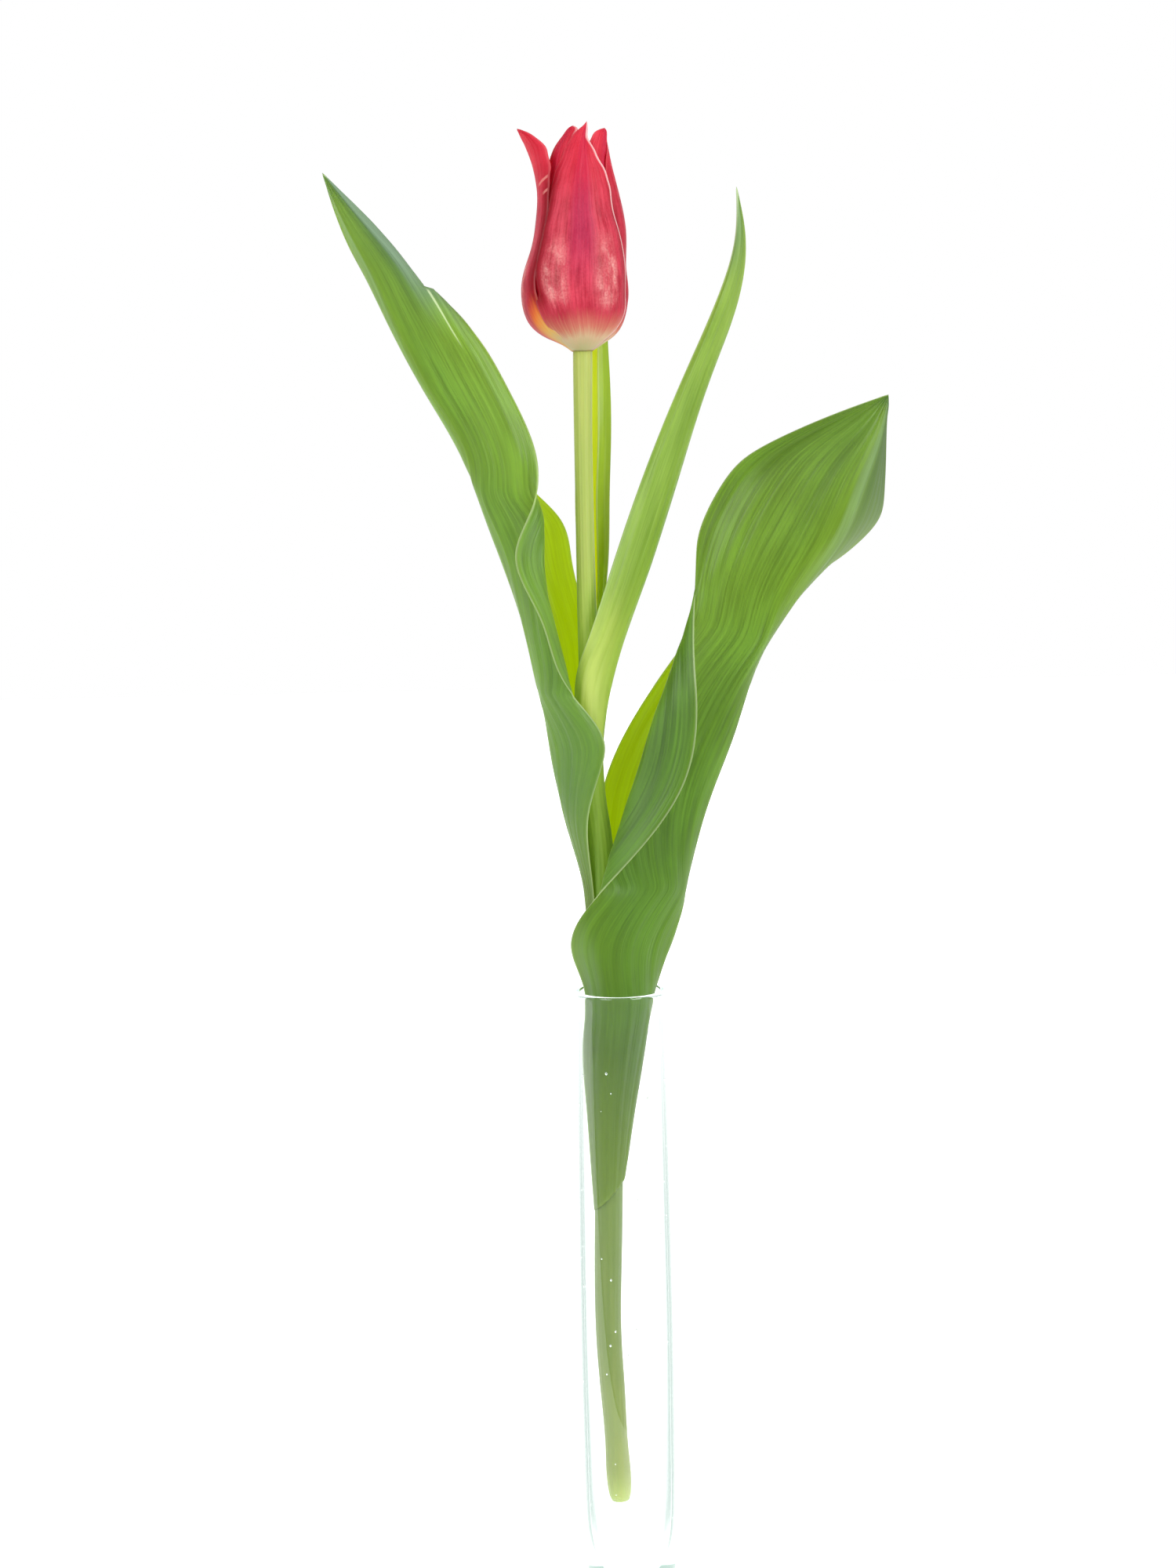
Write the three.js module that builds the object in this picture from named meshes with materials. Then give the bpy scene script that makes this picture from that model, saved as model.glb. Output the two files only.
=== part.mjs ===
// One cut tulip with a pointed red flower and four leaves, hung by its lowest leaf in the mouth of a glass
// tube vase. Millimetres, +Z up. The origin is the centre of the vase's flat base, and the viewer stands
// towards -Y.
import * as THREE from "three";

// Vase: a slightly barrelled blown tube with a thick bottom and a rounded lip
const VASE_HEIGHT = 218;
const VASE_BASE_RADIUS = 13.6;
const VASE_BELLY_RADIUS = 16;
const VASE_MOUTH_RADIUS = 15.05;
const VASE_WALL = 1.5;
const VASE_LIP = 2;
const VASE_SIDES = 36;

// Stem: centre line [x, y, z] and radius from the cut end up to the seat of the flower
const STEM_COURSE = [
  [-3.4, 0, 41, 3.3],
  [-3.5, 0, 43, 3.65],
  [-4.3, 0, 60, 3.9],
  [-5.3, 0, 80, 4.15],
  [-6.2, 0, 98, 4.3],
  [-5.9, 0, 125, 4.6],
  [-5.1, 0, 152, 4.7],
  [-4.5, 0, 185, 4.6],
  [-4.4, 0, 215, 4.45],
  [-5.2, 0, 238, 4.35],
  [-5.3, 0, 254, 4.25],
  [-5.9, 0, 270, 4.2],
  [-7.3, 0, 281, 4.05],
  [-7.9, 0, 292, 3.95],
  [-8, 0, 305, 3.8],
  [-8, 0, 325, 3.45],
  [-8.3, 0, 345, 3.15],
  [-8.4, 0, 375, 2.95],
  [-8.3, 0, 405, 2.95],
  [-8, 0, 424, 3.1],
];
// The seat: a short neck for the outer tepals, a thinner one for the inner tepals and a disc for the stamens
// and the pistil
const SEAT_X = -7.9;
const SEAT_STEPS = [
  [428.6, 3.1],
  [428.9, 2.3],
  [430, 2.1],
  [430.4, 1.8],
  [431.4, 1.8],
  [431.8, 2.6],
  [432.8, 2.6],
];
const STEM_SIDES = 14;
const STEM_RINGS = 24;

// Leaves: each station runs across the blade from the far edge over the far side, keel, near side and near
// fold to the near edge. The stations go from the foot, which clasps the stem, towards the tip.
const BLADE_THICKNESS = 0.8;
const LEAVES = [
  {
    name: "leaf_lower_right",
    colour: 0x5b9434,
    rows: 38,
    across: [3, 3, 3, 3, 3],
    stations: [
      [
        [-10.4, 2, 152.5], [-4, 5.6, 152.5], [0.6, 0, 152.5],
        [-2.2, -5, 152.5], [-7.5, -5.1, 152.5], [-10.5, -1.4, 152.5],
      ],
      [
        [-11, 4.5, 180], [-3, 7, 180], [4.5, 0.5, 180],
        [0.5, -6, 180], [-7, -7, 180], [-12, -2, 180],
      ],
      [
        [-10.5, 6.5, 203], [-0.5, 9.5, 203], [8.5, 1, 203],
        [4, -7.5, 203], [-5.5, -9.5, 203], [-12.3, -3, 203],
      ],
      [
        [-8.5, 8.3, 219], [2.5, 11.4, 219], [12, 1, 219],
        [7, -8, 219], [-4.5, -10.9, 219], [-12, -2.5, 219],
      ],
      [
        [-5, 11.5, 231], [12, 10.5, 231.5], [17.5, 0, 233.5],
        [8.5, -9, 234.5], [-6.5, -13.5, 235.5], [-16, -6, 234],
      ],
      [
        [-5.5, 12.5, 253.5], [15.5, 11, 253.5], [23, 0, 255],
        [11.5, -10, 256.5], [-5, -14.5, 256.5], [-3.5, -17, 256],
      ],
      [
        [-4.5, 13.5, 283], [16, 12, 282], [31.5, 0, 283.5],
        [19.5, -8, 285.5], [6, -14, 288.5], [22, -21, 289.5],
      ],
      [
        [5, 16, 305], [23.5, 14, 305.5], [39, -1, 303],
        [27, -9, 308], [13, -15, 311], [26.5, -22, 314],
      ],
      [
        [22.5, 19, 330], [36, 17, 327.5], [46.5, -2, 324],
        [34.5, -9, 329], [21.5, -14, 333], [26, -18, 334],
      ],
      [
        [41.5, 28, 345], [51, 16, 343], [56.5, -4, 342.5],
        [43, -9, 348.5], [30, -10, 354], [27.5, -7, 358.5],
      ],
      [
        [73, 34, 356.5], [71.5, 14, 357], [66.5, -7, 358],
        [53.5, -10, 365], [39, -8, 371.5], [30.5, -3, 374],
      ],
      [
        [88, 30, 368], [83, 11, 367.5], [73.5, -9, 368.5],
        [61.5, -10, 376.5], [47, -8, 384], [38, -2, 387],
      ],
      [
        [92, 20, 380], [88.5, 6, 379.5], [81, -10, 382.5],
        [71.5, -10, 389], [60, -7, 395], [50, -2, 397],
      ],
      [
        [91.5, 8, 399], [90, 1, 398], [87, -8, 398.5],
        [82.5, -8, 402], [77, -6, 405], [72, -3, 406.5],
      ],
    ],
    tip: [91, -5, 413],
  },
  {
    name: "leaf_left",
    colour: 0x5f9a3a,
    rows: 38,
    across: [3, 3, 3, 3, 3],
    stations: [
      [
        [-7.6, 4.7, 245], [-9.7, 3.2, 245], [-10.8, 0.6, 245],
        [-10.5, -1.7, 245], [-9.4, -3.7, 245], [-7.9, -4.9, 245],
      ],
      [
        [-7.6, 5, 252], [-10, 3.4, 252], [-11, 0.6, 252],
        [-10.7, -1.8, 252], [-9.7, -3.9, 252], [-8.2, -5.1, 252],
      ],
      [
        [-6.5, 7, 273.5], [-12, 7, 273.5], [-16.5, 0, 274.5],
        [-14, -5.5, 275], [-11.5, -7.5, 275.5], [-9.5, -8, 275.5],
      ],
      [
        [-6.5, 8, 290.5], [-13.5, 8, 290.5], [-20, 0, 291.5],
        [-15, -6.5, 292], [-9.5, -9.5, 292.5], [-5.2, -8.6, 292],
      ],
      [
        [-6.5, 9, 297.5], [-14, 8.5, 297.5], [-21, 0, 298.5],
        [-15.8, -7, 299], [-9.3, -10.2, 299.2], [-3.4, -9.1, 299.5],
      ],
      [
        [-6.5, 10, 304.5], [-14.5, 9, 305], [-22, 0, 306],
        [-17, -7.5, 306.5], [-11, -10.5, 306.5], [-5.2, -9.6, 306.5],
      ],
      [
        [-6.5, 12, 321], [-16.5, 10, 321], [-25.5, 0, 322],
        [-20, -8, 322.5], [-14.5, -11.6, 322], [-16.5, -12.4, 322.5],
      ],
      [
        [-8.5, 14, 340], [-19, 11, 339], [-29.5, 0, 340],
        [-24, -8, 340], [-19, -13, 340.5], [-23, -16, 342],
      ],
      [
        [-13, 15, 361], [-24, 12, 362], [-36, 0, 362.5],
        [-29.5, -9, 363], [-22, -14, 363], [-31, -18, 364],
      ],
      [
        [-17, 14, 375.5], [-29.5, 10, 377], [-41.5, -1, 378],
        [-32.5, -9, 377.5], [-22.5, -12, 377], [-25.5, -16, 378.5],
      ],
      [
        [-28.5, 11, 388], [-36.5, 7, 389.5], [-46, -2, 391],
        [-37, -9, 390], [-28.5, -13, 390], [-23, -13, 391],
      ],
      [
        [-39.5, 6, 417], [-48, 3, 416.5], [-58, -5, 415.5],
        [-49, -10, 416.5], [-39, -13, 417.5], [-32, -11, 417],
      ],
      [
        [-54.5, 0.5, 439.5], [-62, -2, 439], [-70, -8, 438.5],
        [-60.5, -13, 439.5], [-52, -14, 441], [-46, -12, 439],
      ],
      [
        [-66, -3, 453.5], [-71.5, -5, 453], [-76.5, -9.5, 453],
        [-69.5, -14, 454.5], [-63, -14, 456], [-59.5, -11.5, 451.5],
      ],
      [
        [-75.5, -6, 465.5], [-78.5, -8, 465], [-82, -11, 464.5],
        [-77, -14, 466], [-72.5, -14, 467.5], [-70, -12, 464.5],
      ],
    ],
    tip: [-89.5, -14, 486.5],
  },
  {
    name: "leaf_upper_right",
    colour: 0x97bf42,
    rows: 24,
    across: [2, 2, 2, 2, 2],
    stations: [
      [
        [-5.6, 4.3, 302], [-4.1, 2.9, 302], [-3.3, 0, 302],
        [-5.2, -4.1, 302], [-9.4, -4.8, 302], [-12.4, -1.7, 302],
      ],
      [
        [-4.9, 4.6, 309], [-3.4, 2.9, 309], [-2.8, 0, 309],
        [-4.9, -4.6, 309], [-9.3, -5.4, 309], [-12.9, -2.1, 309],
      ],
      [
        [-2.8, 4.9, 320], [-1.3, 3.1, 320.5], [-0.7, 0, 320.5],
        [-3.8, -5, 321.5], [-8.3, -6.6, 322], [-12.5, -3.6, 322],
      ],
      [
        [0.8, 6, 335], [2.8, 3.5, 335], [3, 0, 335],
        [-0.2, -5, 335.5], [-4.8, -7.6, 335.5], [-8.5, -7, 335],
      ],
      [
        [7.5, 5, 357], [10.5, 3.5, 357], [12, 0, 357],
        [7.5, -5, 357], [3.5, -7.5, 357.5], [-0.5, -7, 357.5],
      ],
      [
        [19, 4, 390], [22, 2.5, 390], [23, -1, 390],
        [19, -6, 390], [15, -8, 390], [11.5, -6.5, 390],
      ],
      [
        [29.5, 2, 420.5], [32, 1, 420.5], [33.5, -2, 420],
        [30, -6, 420], [27, -7.5, 420], [24.5, -6, 420],
      ],
      [
        [40.5, -1, 447.5], [42, -1.5, 447.5], [43, -3, 447.5],
        [41, -6, 447.5], [39, -7, 447.5], [37, -6, 447.5],
      ],
      [
        [43.5, -3.5, 465], [44.5, -4, 465], [45, -5, 465],
        [44, -7, 464.5], [42.5, -7.5, 464.5], [42, -7, 464.5],
      ],
    ],
    tip: [42.5, -8, 480],
  },
  {
    name: "leaf_upper_back",
    colour: 0x8fbe2c,
    rows: 22,
    across: [2, 2, 1, 2, 1],
    stations: [
      [
        [-11.8, 2.2, 317.5], [-10.3, 3.7, 317.5], [-8.4, 4.4, 317.5],
        [-7.2, 4.3, 317.5], [-6.2, 4, 317.5], [-5.2, 3.4, 317.5],
      ],
      [
        [-11, 8, 335], [-7.5, 9.5, 335], [-5, 7.5, 335],
        [-4.6, 6.6, 335], [-4.7, 5.8, 335], [-5.3, 5, 335],
      ],
      [
        [-11, 14, 355.5], [-6, 14, 355.5], [-2, 10, 355.5],
        [-2.3, 8.3, 355.5], [-3.3, 7, 355.5], [-4.5, 6, 356],
      ],
      [
        [-11.5, 19, 380.5], [-5.5, 18, 380], [-0.5, 13, 380],
        [-1.2, 10.3, 380], [-2.6, 8.3, 380.5], [-4.5, 7, 380.5],
      ],
      [
        [-10.5, 22, 401], [-4.5, 21, 401], [0.5, 16, 401],
        [-0.3, 13.3, 401], [-1.6, 11.3, 401], [-3.5, 10, 401],
      ],
      [
        [-8, 27, 430], [-3.5, 26, 429.5], [0.5, 21, 429.5],
        [0, 19, 429.5], [-1, 17.5, 429.5], [-3, 16.5, 429.5],
      ],
      [
        [-5.5, 28, 450.5], [-2.5, 27.5, 450.5], [0, 24.5, 450],
        [-0.2, 23.2, 450], [-0.8, 22, 450], [-2, 21, 450],
      ],
    ],
    tip: [-1.5, 24, 468.5],
  },
];

// Flower: how each tepal stands round the flower's axis, from its foot to its tip. The up lists are heights
// above the foot of the flower. At those heights, out is the radius of the cup, and left and right are the
// tepal's widths to either side of its middle, measured round the cup.
const FLOWER_FOOT_Z = 429.4;
const TEPAL_THICKNESS = 0.7;
const TEPAL_ROWS = 18;
const TEPAL_COLUMNS = 10;
const BELLY_SHIFT_X = -2;
const CROWN_SHIFT_X = 1.3;
const OUTER_UP = [0, 2.2, 5.2, 9, 13, 17, 21, 26, 32, 40, 48, 56, 64, 69, 71.5, 73];
const INNER_UP = [1.3, 3.2, 6.5, 11.5, 18, 26, 36, 48, 58, 64, 68, 69.6, 70.2];
// turn is the azimuth in degrees from the viewer towards +X. tuck draws the left and the right margin in
// under a neighbour. lean moves the tip by [x, y, z] and twist turns it by degrees, both fading out at leanFrom
// above the foot.
const TEPALS = [
  {
    name: "tepal_outer_front",
    up: OUTER_UP,
    out: [3.3, 6.9, 11.6, 15.2, 16.8, 17.2, 17, 16.5, 15.6, 14.4, 13.3, 11.7, 9.8, 8.2, 7.2, 6.6],
    left: [3.3, 6.8, 10.9, 14.1, 15.5, 17.2, 18.6, 19, 17.4, 14.6, 11.4, 9, 6.2, 3.9, 1, 0],
    right: [2.8, 6.4, 11.3, 15.8, 18.8, 19.9, 20, 18.6, 16.9, 13.8, 11, 8.2, 2.8, 0.8, 0.4, 0],
    turn: 7,
    twist: 0,
    tuck: [2.2, 0],
    lean: [2.8, 1, -0.6],
    leanFrom: 40,
  },
  {
    name: "tepal_outer_right",
    up: OUTER_UP,
    out: [3.2, 6.6, 11.2, 14.4, 16.2, 17, 16.9, 16.1, 15.7, 15.1, 13.4, 11, 8.6, 7.2, 6.4, 6],
    left: [2.5, 5.8, 10.2, 13.8, 16, 17, 17.2, 17, 17, 16.6, 15.6, 12.6, 8, 4.2, 2, 0],
    right: [2.8, 6, 10.2, 13.8, 16, 16.8, 16.6, 15.8, 14.8, 13.2, 11.5, 8.8, 5.4, 2.9, 1.4, 0],
    turn: 122,
    twist: 0,
    tuck: [1.9, 0],
    lean: [3.2, 0, -2.6],
    leanFrom: 34,
  },
  {
    name: "tepal_outer_left",
    up: OUTER_UP,
    out: [3.3, 7.5, 13, 15.8, 16.8, 17.2, 17.2, 16.5, 14.9, 13.5, 12.6, 12.2, 11.8, 11.6, 11.5, 11.5],
    left: [2.8, 6, 10.2, 13.8, 16, 17, 17, 16.4, 15, 13, 11, 8.8, 6, 3.4, 1.6, 0],
    right: [3, 7.4, 16, 21.4, 22, 21.9, 21.2, 20.3, 18.4, 17, 16, 16.4, 15, 10, 5, 0],
    turn: -120,
    twist: 40,
    tuck: [0, 0],
    lean: [-7.7, 5, -1.4],
    leanFrom: 46,
  },
  {
    name: "tepal_inner_left",
    up: INNER_UP,
    out: [2.4, 5, 9.4, 12.4, 13.2, 12.7, 11.3, 9.8, 8.8, 7.6, 5.8, 4.9, 4.5],
    left: [2, 4.4, 8.6, 11.2, 12.2, 12, 11.4, 10.2, 9.2, 7.4, 5, 3, 0],
    right: [2, 4.4, 8.6, 11.2, 12.2, 12, 11, 9, 6.4, 4.4, 2.6, 1.4, 0],
    turn: -55,
    twist: 0,
    tuck: [0, 0],
    lean: [3.2, 0, 1.3],
    leanFrom: 40,
  },
  {
    name: "tepal_inner_right",
    up: INNER_UP,
    out: [2.4, 5, 9.4, 12.2, 13, 12.6, 11.6, 9.6, 7.6, 5.6, 4.6, 4.2, 4.1],
    left: [2, 4.4, 8.6, 11.2, 12.2, 12, 11, 9.6, 8.4, 7, 5.4, 3.6, 0],
    right: [2, 4.4, 8.6, 11.2, 12.2, 12, 11, 9.6, 7, 4.8, 2.8, 1.6, 0],
    turn: 65,
    twist: 0,
    tuck: [0, 0],
    lean: [4.4, 0, 0.4],
    leanFrom: 40,
  },
  {
    name: "tepal_inner_back",
    up: INNER_UP,
    out: [2.4, 5, 9.4, 12.2, 13, 12.8, 11.6, 10, 8.2, 6.8, 5.8, 5.4, 5.2],
    left: [2, 4.4, 8.6, 11.2, 12.2, 12, 11, 9.4, 7, 4.4, 2.4, 1.2, 0],
    right: [2, 4.4, 8.6, 11.2, 12.2, 12, 11, 9.4, 7, 4.4, 2.4, 1.2, 0],
    turn: 185,
    twist: 0,
    tuck: [0, 0],
    lean: [0, 1, -1],
    leanFrom: 40,
  },
];

// Pistil and stamens, which stand on the seat's disc inside the closed flower
const DISC_TOP_Z = 432.8;
const SEAT_CLEARANCE = 0.3;
const PISTIL_RINGS = [
  [0, 1, 0],
  [1, 1.1, 0],
  [3.5, 2.4, 0.08],
  [9, 2.9, 0.12],
  [16, 2.6, 0.12],
  [20, 2.1, 0.1],
  [21.5, 2.7, 0.3],
  [23, 3.5, 0.42],
  [24.2, 2.9, 0.45],
];
const PISTIL_SIDES = 18;
const STAMEN_COUNT = 6;
const STAMEN_FOOT_RADIUS = 1.95;
const STAMEN_SIDES = 8;
const STAMEN_RINGS = [
  [0, 0, 0.4],
  [1.5, 0.3, 0.45],
  [4, 2.2, 0.7],
  [8, 3.2, 0.5],
  [8.8, 3.3, 0.9],
  [11, 3.5, 1.15],
  [16, 3.7, 1.1],
  [19, 3.8, 0.8],
  [20.2, 3.8, 0.3],
];

const GLASS = new THREE.MeshStandardMaterial({ color: 0xe8f4ee, roughness: 0.05, metalness: 0 });
const GREEN_STEM = new THREE.MeshStandardMaterial({ color: 0x9ab55c, roughness: 0.5, metalness: 0 });
const CRIMSON = new THREE.MeshStandardMaterial({ color: 0xc4304c, roughness: 0.45, metalness: 0 });
const PALE_GREEN = new THREE.MeshStandardMaterial({ color: 0xb9c86a, roughness: 0.6, metalness: 0 });
const DARK_ANTHER = new THREE.MeshStandardMaterial({ color: 0x3a2430, roughness: 0.8, metalness: 0 });

// A smooth curve through points of any dimension at the given knots: a natural cubic spline.
function splineThrough(knots, points) {
  const count = knots.length;
  const size = points[0].length;
  const bends = points.map(() => new Array(size).fill(0));
  const widths = knots.slice(1).map((knot, i) => knot - knots[i]);
  const ratios = new Array(count).fill(0);
  for (let i = 1; i < count - 1; i += 1) {
    const pivot = 2 * (widths[i - 1] + widths[i]) - widths[i - 1] * ratios[i - 1];
    ratios[i] = widths[i] / pivot;
    for (let k = 0; k < size; k += 1) {
      const rise = (points[i + 1][k] - points[i][k]) / widths[i];
      const fall = (points[i][k] - points[i - 1][k]) / widths[i - 1];
      bends[i][k] = (6 * (rise - fall) - widths[i - 1] * bends[i - 1][k]) / pivot;
    }
  }
  for (let i = count - 2; i > 0; i -= 1) {
    for (let k = 0; k < size; k += 1) {
      bends[i][k] -= ratios[i] * bends[i + 1][k];
    }
  }
  return (at) => {
    let i = 0;
    while (i < count - 2 && at > knots[i + 1]) {
      i += 1;
    }
    const w = widths[i];
    const a = (knots[i + 1] - at) / w;
    const b = 1 - a;
    return points[i].map((value, k) => {
      const curve = (a ** 3 - a) * bends[i][k] + (b ** 3 - b) * bends[i + 1][k];
      return a * value + b * points[i + 1][k] + (curve * w * w) / 6;
    });
  };
}

function distance(p, q) {
  return Math.hypot(p[0] - q[0], p[1] - q[1], p[2] - q[2]);
}

function smoothstep(x) {
  const t = Math.min(1, Math.max(0, x));
  return t * t * (3 - 2 * t);
}

function geometryFrom(vertices, faces) {
  const geometry = new THREE.BufferGeometry();
  geometry.setAttribute("position", new THREE.Float32BufferAttribute(vertices.flat(), 3));
  geometry.setIndex(faces.flat());
  geometry.computeVertexNormals();
  return geometry;
}

// A closed blade of even thickness about a grid of middle points, rows running from foot to tip. Both faces
// are split into triangles alike, and the last row closes on the tip.
function bladeGeometry(grid, tip, thickness) {
  const rows = grid.length;
  const columns = grid[0].length;
  const vertices = [];
  const at = (i, j) => new THREE.Vector3(...grid[i][j]);
  for (const side of [1, -1]) {
    for (let i = 0; i < rows; i += 1) {
      for (let j = 0; j < columns; j += 1) {
        const across = at(i, Math.min(j + 1, columns - 1)).sub(at(i, Math.max(j - 1, 0)));
        const along = at(Math.min(i + 1, rows - 1), j).sub(at(Math.max(i - 1, 0), j));
        const normal = across.cross(along).normalize();
        vertices.push(at(i, j).addScaledVector(normal, (side * thickness) / 2).toArray());
      }
    }
  }
  vertices.push(tip);
  const front = (i, j) => i * columns + j;
  const back = (i, j) => (rows + i) * columns + j;
  const point = 2 * rows * columns;
  const faces = [];
  const quad = (a, b, c, d) => faces.push([a, b, c], [a, c, d]);
  const lastRow = rows - 1;
  const lastColumn = columns - 1;
  for (let i = 0; i < lastRow; i += 1) {
    for (let j = 0; j < lastColumn; j += 1) {
      quad(front(i, j), front(i, j + 1), front(i + 1, j + 1), front(i + 1, j));
      faces.push([back(i, j), back(i + 1, j + 1), back(i, j + 1)]);
      faces.push([back(i, j), back(i + 1, j), back(i + 1, j + 1)]);
    }
    quad(front(i, 0), front(i + 1, 0), back(i + 1, 0), back(i, 0));
    quad(front(i + 1, lastColumn), front(i, lastColumn), back(i, lastColumn), back(i + 1, lastColumn));
  }
  for (let j = 0; j < lastColumn; j += 1) {
    quad(front(0, j + 1), front(0, j), back(0, j), back(0, j + 1));
    faces.push([front(lastRow, j), front(lastRow, j + 1), point]);
    faces.push([back(lastRow, j + 1), back(lastRow, j), point]);
  }
  faces.push([front(lastRow, 0), point, back(lastRow, 0)]);
  faces.push([point, front(lastRow, lastColumn), back(lastRow, lastColumn)]);
  return geometryFrom(vertices, faces);
}

// A closed body through rings of points, each ring with as many points as the next, and a flat cap at both
// ends.
function ringsGeometry(rings) {
  const sides = rings[0].length;
  const vertices = rings.flat();
  const faces = [];
  const middle = (ring) => [0, 1, 2].map((k) => ring.reduce((sum, p) => sum + p[k], 0) / sides);
  const foot = vertices.push(middle(rings[0])) - 1;
  const head = vertices.push(middle(rings.at(-1))) - 1;
  for (let s = 0; s < sides; s += 1) {
    const next = (s + 1) % sides;
    for (let i = 0; i < rings.length - 1; i += 1) {
      const low = i * sides;
      const high = low + sides;
      faces.push([low + s, low + next, high + next], [low + s, high + next, high + s]);
    }
    const top = (rings.length - 1) * sides;
    faces.push([foot, next, s], [head, top + s, top + next]);
  }
  return geometryFrom(vertices, faces);
}

// A ring of points round (x, y, z) in the level plane, its radius swelling into lobes.
function levelRing(x, y, z, radius, sides, lobes = 0, swell = 0) {
  return Array.from({ length: sides }, (_, s) => {
    const angle = (2 * Math.PI * s) / sides;
    const r = radius * (1 + swell * Math.cos(lobes * angle));
    return [x + r * Math.cos(angle), y + r * Math.sin(angle), z];
  });
}

function makeVase() {
  const outer = [
    [VASE_BASE_RADIUS, 0],
    [VASE_BASE_RADIUS + 1.1, 0.7],
    [VASE_BASE_RADIUS + 1.5, 2.5],
    [15.3, 20],
    [15.75, 55],
    [VASE_BELLY_RADIUS, 90],
    [15.75, 135],
    [15.35, 180],
    [VASE_MOUTH_RADIUS, 206],
    [VASE_MOUTH_RADIUS - 0.2, 212],
    [VASE_MOUTH_RADIUS - 0.05, 214.4],
    [VASE_MOUTH_RADIUS, 215.6],
    [VASE_MOUTH_RADIUS - 0.2, 216.6],
    [VASE_MOUTH_RADIUS - 0.55, 217.5],
    [VASE_MOUTH_RADIUS - VASE_LIP / 2, VASE_HEIGHT],
  ];
  const inner = [
    [VASE_MOUTH_RADIUS - VASE_LIP + 0.45, 217.7],
    [VASE_MOUTH_RADIUS - VASE_LIP, 216.6],
    [VASE_MOUTH_RADIUS - VASE_LIP + 0.1, 214],
    [VASE_MOUTH_RADIUS - VASE_WALL, 208],
    [15.35 - VASE_WALL, 180],
    [15.75 - VASE_WALL, 135],
    [VASE_BELLY_RADIUS - VASE_WALL, 90],
    [15.75 - VASE_WALL, 55],
    [13.7, 38],
    [12.4, 29],
    [10.4, 21.5],
    [7.5, 15.5],
    [3.5, 11.8],
  ];
  const profile = [[0, 0], ...outer, ...inner, [0, 11]].map(([r, z]) => new THREE.Vector2(r, z));
  const geometry = new THREE.LatheGeometry(profile, VASE_SIDES);
  geometry.rotateX(Math.PI / 2);
  return new THREE.Mesh(geometry, GLASS);
}

function makeStem() {
  const knots = STEM_COURSE.map((station) => station[2]);
  const course = splineThrough(knots, STEM_COURSE);
  const low = knots[0];
  const high = knots.at(-1);
  const heights = [low, knots[1]];
  for (let i = 1; i <= STEM_RINGS; i += 1) {
    heights.push(knots[1] + ((high - knots[1]) * i) / STEM_RINGS);
  }
  const rings = heights.map((z) => {
    const [x, y, , radius] = course(z);
    return levelRing(x, y, z, radius, STEM_SIDES);
  });
  for (const [z, radius] of SEAT_STEPS) {
    rings.push(levelRing(SEAT_X, 0, z, radius, STEM_SIDES));
  }
  return new THREE.Mesh(ringsGeometry(rings), GREEN_STEM);
}

function makeLeaf({ colour, rows, across, stations, tip }) {
  const rails = stations[0].map((_, k) => [...stations.map((station) => station[k]), tip]);
  const keel = rails[2];
  const knots = [0];
  for (let i = 1; i < keel.length; i += 1) {
    knots.push(knots[i - 1] + distance(keel[i], keel[i - 1]));
  }
  const curves = rails.map((rail) => splineThrough(knots, rail));
  const grid = [];
  for (let i = 0; i < rows; i += 1) {
    const station = curves.map((curve) => curve((knots.at(-1) * i) / rows));
    const marks = [0];
    for (let k = 1; k < station.length; k += 1) {
      marks.push(marks[k - 1] + Math.sqrt(distance(station[k], station[k - 1])));
    }
    const section = splineThrough(marks, station);
    const row = [station[0]];
    across.forEach((count, k) => {
      for (let n = 1; n <= count; n += 1) {
        row.push(section(marks[k] + ((marks[k + 1] - marks[k]) * n) / count));
      }
    });
    grid.push(row);
  }
  const material = new THREE.MeshStandardMaterial({ color: colour, roughness: 0.55, metalness: 0 });
  return new THREE.Mesh(bladeGeometry(grid, tip, BLADE_THICKNESS), material);
}

function makeTepal({ up: ups, out: outs, left: lefts, right: rights, turn, twist, tuck, lean, leanFrom }) {
  const stations = ups.map((up, i) => [up, outs[i], lefts[i], rights[i]]);
  const knots = [0];
  for (let i = 1; i < stations.length; i += 1) {
    const [up, out] = stations[i];
    knots.push(knots[i - 1] + Math.hypot(up - stations[i - 1][0], out - stations[i - 1][1]));
  }
  const shape = splineThrough(knots, stations);
  const height = ups.at(-1);
  const place = (along, across) => {
    const [up, out, left, right] = shape(knots.at(-1) * along);
    const width = Math.max(0, across < 0 ? left : right);
    const margin = across < 0 ? tuck[0] : tuck[1];
    const drawn = margin * smoothstep((Math.abs(across) - 0.5) / 0.5);
    const hold = smoothstep((up - 3) / 7) * smoothstep((64 - up) / 14);
    const radius = out - drawn * hold;
    const share = Math.max(0, (up - leanFrom) / (height - leanFrom)) ** 2;
    const angle = THREE.MathUtils.degToRad(turn + twist * share) + (across * width) / out;
    const shift = BELLY_SHIFT_X * smoothstep(up / 16) + CROWN_SHIFT_X * smoothstep((up - 18) / 22);
    return [
      SEAT_X + shift + radius * Math.sin(angle) + lean[0] * share,
      -radius * Math.cos(angle) + lean[1] * share,
      FLOWER_FOOT_Z + up + lean[2] * share,
    ];
  };
  const grid = [];
  for (let i = 0; i < TEPAL_ROWS; i += 1) {
    const row = [];
    for (let j = 0; j <= TEPAL_COLUMNS; j += 1) {
      row.push(place(i / TEPAL_ROWS, (2 * j) / TEPAL_COLUMNS - 1));
    }
    grid.push(row);
  }
  return new THREE.Mesh(bladeGeometry(grid, place(1, 0), TEPAL_THICKNESS), CRIMSON);
}

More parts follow.
